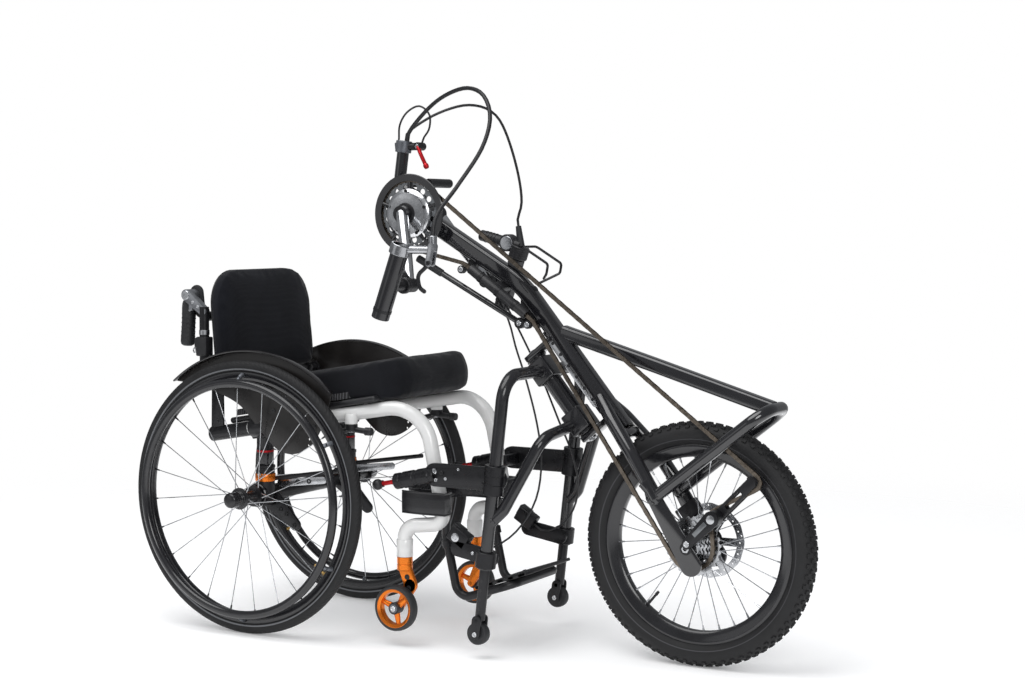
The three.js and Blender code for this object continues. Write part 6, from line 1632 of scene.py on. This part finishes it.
# Brake caliper: a black machined body with a slot that the disc runs through. Two silver
# bolts and a round cap show on its outer face.
caliper_angle = math.radians(128)
cx, cz = polar(front_x, front_z, 74, caliper_angle)
caliper_rise = -1 / math.tan(caliper_angle)
body_block = block((cx, 52.1, cz), (54, 20.8, 34), caliper_rise, 3, 3)
slot_cut = turned([(0, -3), (80.6, -3), (80.6, 3), (0, 3)], (front_x, 50, front_z), steps=48)
coated(cut_by(body_block, slot_cut), machined_black)
caliper_parts = [body_block]
lean = math.atan(caliper_rise)
for along in (-19, 19):
    spot = (cx + along * math.cos(lean), 61.6, cz + along * math.sin(lean))
    caliper_parts.append(coated(bolt((spot[0], 61, spot[2]), (0, 1, 0), 4, 1.6), bright_steel))
caliper_parts.append(coated(turned([(0, 0), (9, 0), (9, 0.8), (7, 1.4), (0, 1)], (cx, 61.4, cz), (0, 1, 0),
    32), bright_steel))
fitted(together(*caliper_parts), "brake_caliper_body", None, "front", "brake_caliper")

# Chainset: black guard ring, grey toothed chainring with round windows, a polished silver
# disc and the right crank, all on a through spindle. The left crank clamps on its other end.
ring_grey = finish("chainring_grey", (0.20, 0.21, 0.22), 0.32, metallic=0.8, cloud=50, grain=1300,
                   depth=0.06)
polished = finish("polished_silver", (0.74, 0.75, 0.77), 0.2, metallic=1, cloud=40, grain=900, depth=0.03,
                  spread=0.08)
guard_ring = turned([(72, -1.4), (74, -1.5), (86.6, -1.5), (88, -0.6), (88, 0.6), (86.6, 1.5), (74, 1.5),
                     (72, 1.4)], (crank_x, -48.5, crank_z), steps=128)
coated(guard_ring, gloss_black)
chainring = plate(toothed(crank_x, crank_z, 36, 72.5, 67.6), -43.4, -40.6, 0)
holes = []
for k in range(16):
    a = 2 * math.pi * (k + 0.5) / 16
    holes.append(rod(around(crank_axis, 58, a, -50), around(crank_axis, 58, a, -30), 6.6, sides=20))
coated(cut_by(chainring, *holes), ring_grey)
arms = []
for k in range(5):
    a = 2 * math.pi * k / 5 + 0.3
    arms += [
        coated(rod((crank_x, -50, crank_z), around(crank_axis, 70, a, -48.6), 5.4, 3.4, 12), gloss_black),
        coated(bolt(around(crank_axis, 50, a, -61.6), (0, -1, 0), 4, 2), satin_black),
    ]
silver_disc = coated(turned(
    [(0, 0), (55, 0), (55, 6), (54, 7), (49, 9.6), (46, 10.6), (45.4, 12), (40, 13), (24, 15.4), (22, 16),
     (0, 16)],
    (crank_x, -47, crank_z), (0, -1, 0), 96), polished)
dark_centre = coated(turned([(0, 14), (23, 15.4), (24, 16.6), (22, 17.6), (0, 18)], (crank_x, -47, crank_z),
                            (0, -1, 0), 56), satin_black)
shaft = coated(rod((crank_x, -86, crank_z), (crank_x, 74.6, crank_z), 10.8, sides=36, edge=1), bright_steel)


pin_x, pin_z = 392, 783


def crank_arm(sign):
    hub_y, pin_y = sign * 75, sign * 166
    parts = [
        coated(turned([(11.2 if sign > 0 else 0, -11), (16.4, -11), (17.6, -9.6), (17.6, 9.6), (16.4, 11),
                       (11.2 if sign > 0 else 0, 11)],
                      (crank_x, hub_y, crank_z), (0, sign, 0), 48), satin_black),
        coated(rod((crank_x, hub_y, crank_z), (pin_x, pin_y, pin_z), 14.6, 10.6, 28), polished),
        coated(turned([(0, -15), (13.6, -15), (15, -13.6), (15, 13.6), (13.6, 15), (0, 15)],
                      (pin_x, pin_y, pin_z), (0, sign, 0), 44), satin_black),
        coated(bolt((crank_x, sign * 86, crank_z), (0, sign, 0), 8, 0.8, 4.6), bright_steel),
        coated(block((383, pin_y - sign * 2, 800.8), (34, 26, 12), -152 / -77 * -0.5, 3), satin_black),
    ]
    return parts


fitted(together(guard_ring, chainring, silver_disc, dark_centre, shaft, *arms, *crank_arm(-1)),
       "chainset_rings", None, "cranks", "chainset")
left_arm = together(*crank_arm(1))
fitted(left_arm, "crank_left_arm", None, "cranks", "crank_left")

# Chain: bronze-silver steel links of half an inch, with inner and outer plates in turn on
# their rollers. It runs round the chainring, the guide, the sprockets and the cage.
chain_steel = finish("chain_bronze_steel", (0.20, 0.17, 0.14), 0.34, metallic=1, cloud=120, grain=1500,
                     depth=0.05, tint=0.4)
closed = chain_line + [chain_line[0]]
reach = [0]
for a, b in zip(closed, closed[1:]):
    reach.append(reach[-1] + math.dist(a, b))
link_count = 2 * round(reach[-1] / 25.4)
pins, j = [], 0
for k in range(link_count):
    want = reach[-1] * k / link_count
    while reach[j + 1] < want:
        j += 1
    share = (want - reach[j]) / max(1e-9, reach[j + 1] - reach[j])
    pins.append((closed[j][0] + (closed[j + 1][0] - closed[j][0]) * share,
                 closed[j][1] + (closed[j + 1][1] - closed[j][1]) * share))
pitch = reach[-1] / link_count
link_meshes = []
for near, far in ((1.7, 2.3), (2.4, 3.1)):
    cheeks = []
    for sign in (-1, 1):
        cheeks.append(plate(oval((origin_ahead, 0), (origin_ahead + pitch, 0), 4.1, 4.1, 4), sign * near,
                            sign * far, 0))
    cheeks += [
        rod((origin_ahead, -3.2, 0), (origin_ahead, 3.2, 0), 1.8, sides=6),
        rod((origin_ahead + pitch, -1.7, 0), (origin_ahead + pitch, 1.7, 0), 3.4, sides=8),
    ]
    link_meshes.append(together(*cheeks))
links = []
for k, (a, b) in enumerate(zip(pins, pins[1:] + pins[:1])):
    twin = link_meshes[k % 2].data.copy()
    lean = math.atan2(b[1] - a[1], b[0] - a[0])
    twin.transform(Matrix.Translation(mm(a[0], chain_y, a[1])) @ Matrix.Rotation(-lean, 4, "Y"))
    one = bpy.data.objects.new("chain_link", twin)
    bpy.context.collection.objects.link(one)
    links.append(one)
for spare in link_meshes:
    bpy.data.objects.remove(spare)
fitted(together(*links), "chain_links", chain_steel, "front", "chain")

# Derailleur: a black body bolted to the right dropout, and a cage with two toothed pulleys.
# The cage is two slotted black plates, and the pulleys are plastic.
face_y = -67 - 4 - 0.4
mech_parts = [
    coated(plate(oval((1002, 267.5), mech_pivot, 11, 17), face_y - 10.8, face_y, 2), machined_black),
    coated(turned([(0, -54.9), (15.6, -54.9), (17, -56.4), (17, -80), (15.6, -82), (0, -82)],
                  (mech_pivot[0], 0, mech_pivot[1]), steps=40), machined_black),
    coated(bolt((1002, face_y - 10.8, 267.5), (0, -1, 0), 6.4, 2.6, 3), bright_steel),
    coated(turned([(0, 0), (9, 0), (9, 1.6), (7, 2.4), (0, 2)], (mech_pivot[0], -82, mech_pivot[1]),
                  (0, -1, 0), 32), bright_steel),
    coated(block((1030, face_y - 5.4, 300), (40, 11.4, 12), 1.04, 2), ring_grey),
]
fitted(together(*mech_parts), "derailleur_body", None, "front", "derailleur")
cage_parts = []
for sign in (-1, 1):
    y = chain_y + sign * 10.5
    cheek = plate(oval(mech_pivot, tip_pulley, 11, 11), y - 1.4, y + 1.4, 0.6)
    slot = plate(oval((1078, 346.6), (1104, 373.4), 5.4, 5.4, 8), y - 4, y + 4, 0)
    cage_parts.append(coated(cut_by(cheek, slot), satin_black))
for x, z in (mech_pivot, tip_pulley):
    cage_parts += [
        coated(plate(toothed(x, z, 11, 15.2, 12), -43, -41, 0), black_plastic),
        coated(rod((x, -53.8, z), (x, -30.2, z), 4.6, sides=20, edge=0.6), bright_steel),
        coated(turned([(4.6, -45.2), (8.6, -44.6), (8.6, -39.4), (4.6, -38.8)], (x, 0, z), steps=24),
               black_plastic),
    ]
fitted(together(*cage_parts), "derailleur_cage_plates", None, "front", "derailleur_cage")

# Grips: black tubes with an open upper end, each on a stub at the crank's pin. The right one
# carries the silver brake body, the left one the shifter with its ribbed rings.
grip_y = 259
grip_way = (51, 0, 145)


def grip_point(sign, share, ahead=0):
    """A spot along the grip, with a step ahead of it and square to it."""
    way = Vector(grip_way).normalized()
    spot = Vector((377, sign * grip_y, 716)) + Vector(grip_way) * share + Vector((way.z, 0, -way.x)) * ahead
    return tuple(spot)


silver_grey = finish("silver_grey_metal", (0.50, 0.51, 0.53), 0.24, metallic=1, cloud=60, grain=1200,
                     depth=0.05)


def grip(sign, top):
    """The sleeve with its open ends, its stub and the end boss."""
    length = 153.7
    sleeve_tube = turned([(16, 0), (17.8, 0), (19, 1.4), (19, length * top - 1.6), (17.6, length * top),
                          (13.6, length * top), (12.8, length * top - 2), (12.8, length * top - 14),
                          (0, length * top - 14), (0, 70), (16, 70)], grip_point(sign, 0), grip_way, 56)
    stub = rod((pin_x, sign * 181.6, pin_z), (pin_x, sign * 258, pin_z), 12, sides=36)
    boss = turned([(12, 0), (16.4, 0), (17.4, 1.6), (17.4, 9), (15.4, 11), (12, 11)],
                  (pin_x, sign * 184, pin_z), (0, sign, 0), 40)
    band = turned([(18.8, -3), (20, -3), (20, 3), (18.8, 3)], grip_point(sign, 0.12), grip_way, 56)
    return [coated(sleeve_tube, gloss_black), coated(stub, satin_black), coated(boss, satin_black),
            coated(band, satin_black)]


right_parts = grip(-1, 1)
right_parts += [
    coated(turned([(18.8, -10.6), (22.2, -11), (23, -10), (23, 10), (22.2, 11), (18.8, 10.6)],
                  grip_point(-1, 1), grip_way, 56), silver_grey),
    coated(rod((428, -grip_y, 861), (506, -grip_y, 861), 9.4, 8, 28), silver_grey),
    coated(turned([(0, -4), (7.6, -4), (9, -2.6), (9, 27.6), (7.6, 29), (5, 29), (5, 24), (0, 24)],
                  (506, -grip_y, 861), (0, 0, 1), 36), silver_grey),
    coated(block((440, -grip_y, 866), (26, 20, 14), 0.1, 3), silver_grey),
]
for sign in (-1, 1):
    right_parts += [
        coated(plate(oval((500, 834), (506, 868), 7.5, 7.5), -grip_y + sign * 4.9, -grip_y + sign * 8.9,
                     0.8), silver_grey),
        coated(bolt((500, -grip_y + sign * 8.6, 834), (0, sign, 0), 5, 2.4), satin_black),
    ]
fitted(together(*right_parts), "grip_right_sleeve", None, "hand_right", "grip_right")
blade = bent_tube([(500, -grip_y, 834), (468.8, -grip_y, 808), (474, -grip_y, 782), (487, -grip_y, 774.2)],
                  4.4, 18, 16)
blade_hub = rod((500, -263.4, 834), (500, -254.6, 834), 6, sides=24, edge=0.5)
blade_tip = rod((484.6, -grip_y, 775.6), (488.6, -grip_y, 773.4), 4.6, 3, 16)
fitted(together(blade, blade_hub, blade_tip), "brake_blade", satin_black, "brake", "brake_lever")

left_parts = grip(1, 0.8)
left_parts.append(coated(turned([(18, 124), (20.6, 124.4), (21.8, 126), (21.8, 152), (20.4, 153.6),
    (0, 153.6), (0, 124)], grip_point(1, 0), grip_way, 56), black_plastic))
for k in range(5):
    left_parts.append(coated(turned([(21, 128 + 5 * k), (22.2, 128.6 + 5 * k), (22.2, 130.4 + 5 * k),
        (21, 131 + 5 * k)], grip_point(1, 0), grip_way, 56), satin_black))
left_parts += [
    coated(turned([(0, -13), (18.4, -13), (20, -11.4), (20, 11.4), (18.4, 13), (0, 13)], (396, grip_y, 869),
                  (0, 1, 0), 56), black_plastic),
    coated(turned([(0, 0), (16, 0), (15, 1), (12, 1.3), (0, 1.3)], (396, 246, 869), (0, -1, 0), 48),
           silver_grey),
    coated(rod((428, grip_y, 861), (322, grip_y, 886), 13, sides=36, edge=1.2), black_plastic),
]
for share in (0.62, 0.7, 0.78, 0.86):
    left_parts.append(coated(turned([(12.6, -2), (13.8, -1.4), (13.8, 1.4), (12.6, 2)],
        (428 - 106 * share, grip_y, 861 + 25 * share), (-106, 0, 25), 40), satin_black))
left_parts += [
    coated(turned([(0, 0), (12, 0), (11.4, 1.2), (0, 1.2)], (322, grip_y, 886), (-106, 0, 25), 40),
           silver_grey),
    coated(rod((428, grip_y, 861), (421, grip_y, 908), 9.2, 6.4, 24), soft_grip),
]
fitted(together(*left_parts), "grip_left_sleeve", None, "hand_left", "grip_left")

# Cable mast: a bent black tube above the crank bearing, with a grey clamp, the perch of the
# red parking lever and a side bar on the other side.
perch_x, perch_z = 316, 1084
side_bar_x, side_bar_z = 342, 1003
mast_parts = [
    coated(bent_tube([(304, 0, 973), (260, 0, 1000), (273, 0, 1097)], 13.5, 30, 28), boom_black),
    coated(turned([(13.2, -26), (17, -26), (18, -25), (18, -1), (17, 0), (13.2, 0), (13, -2), (12.6, -24)],
                  (273, 0, 1097), (13, 0, 97), 48), grey_tab),
    coated(block((258, 0, perch_z), (14, 12, 20), 0.13, 2), grey_tab),
    coated(bolt((252, 6, perch_z), (0, 1, 0), 3.6, 3), bright_steel),
    coated(rod((273, 0, perch_z), (perch_x, 0, perch_z), 9, 8, 28), satin_black),
    coated(rod((perch_x, -10, perch_z), (perch_x, 10, perch_z), 9, sides=32, edge=1), satin_black),
    coated(bolt((perch_x, 10, perch_z), (0, 1, 0), 5, 2.6), bright_steel),
    coated(rod((262, 0, side_bar_z), (side_bar_x, 0, side_bar_z), 9, 9, 28), satin_black),
    coated(turned([(0, -10), (9, -10), (10, -9), (10, 79), (9, 80), (0, 80)], (side_bar_x, 0, side_bar_z),
                  (0, 1, 0), 36), satin_black),
]
fitted(together(*mast_parts), "cable_mast_tube", None, "front", "cable_mast")
lever_parts = [
    coated(rod((perch_x, -16.4, perch_z), (perch_x, -10.4, perch_z), 9, sides=36, edge=0.8), satin_black),
    coated(bent_tube([(perch_x, -13.4, perch_z), (326, -16.4, 1066), (340, -16.4, 1040)], 4.5, 14, 20),
           signal_red),
    coated(turned([(0, -7), (4.4, -6), (6, -3), (6, 2), (4.4, 5.4), (0, 6)], (340, -16.4, 1040),
                  (14, 0, -26), 28), signal_red),
    coated(bolt((perch_x, -16, perch_z), (0, -1, 0), 5, 1.6), bright_steel),
]
fitted(together(*lever_parts), "parking_lever_red", None, "parking", "parking_lever")

# Lever bar below the boom: a round black bar. Its front end is bolted to a boss under the
# boom, and its rear end carries a soft grip.
bar_parts = [
    coated(rod((328, -26, 836), (lever_x, -26, lever_z), 6.5, sides=28, edge=1), boom_black),
    coated(turned([(0, -7), (11, -7), (12, -6), (12, 6), (11, 7), (0, 7)], (lever_x, -25.45, lever_z),
                  (0, 1, 0), 40), satin_black),
    coated(bolt((lever_x, -32.4, lever_z), (0, -1, 0), 6, 2.4), bright_steel),
    coated(turned([(6.3, 0), (8, 0), (8.4, 1.4), (8.4, 68), (7.4, 70), (6.3, 70)], (326, -26, 837),
                  (256, 0, -134), 32), soft_grip),
]
fitted(together(*bar_parts), "lever_bar_rod", None, "lever", "lever_bar")

# Bottle cage: one black wire bent to a cradle above the boom. A flat strip holds it down on
# the boom's top.
along_boom = Vector((knee_x - crank_x, 0, knee_z - crank_z)).normalized()
up_boom = Vector((-along_boom.z, 0, along_boom.x))
cage_base = Vector(crank_axis) + along_boom * 274 + up_boom * 22.2
cage_points = [(-24.8, 0, 0), (58.9, 0, 0), (78.7, 37.2, 31), (71.3, 57, 31), (0, 57, 31), (0, 57, -31),
               (71.3, 57, -31), (78.7, 37.2, -31), (68.2, 18.6, -8.4)]
cage_spots = [tuple(cage_base + along_boom * a + up_boom * u + Vector((0, y, 0)))
              for a, u, y in cage_points]
cage_wire = bent_tube(cage_spots, 2.8, 8.4, 16)
strip = block(tuple(cage_base + along_boom * 10), (70, 12, 4.4), along_boom.z / along_boom.x, 1.2)
fitted(together(cage_wire, strip), "bottle_cage_wire", satin_black, "front", "bottle_cage")
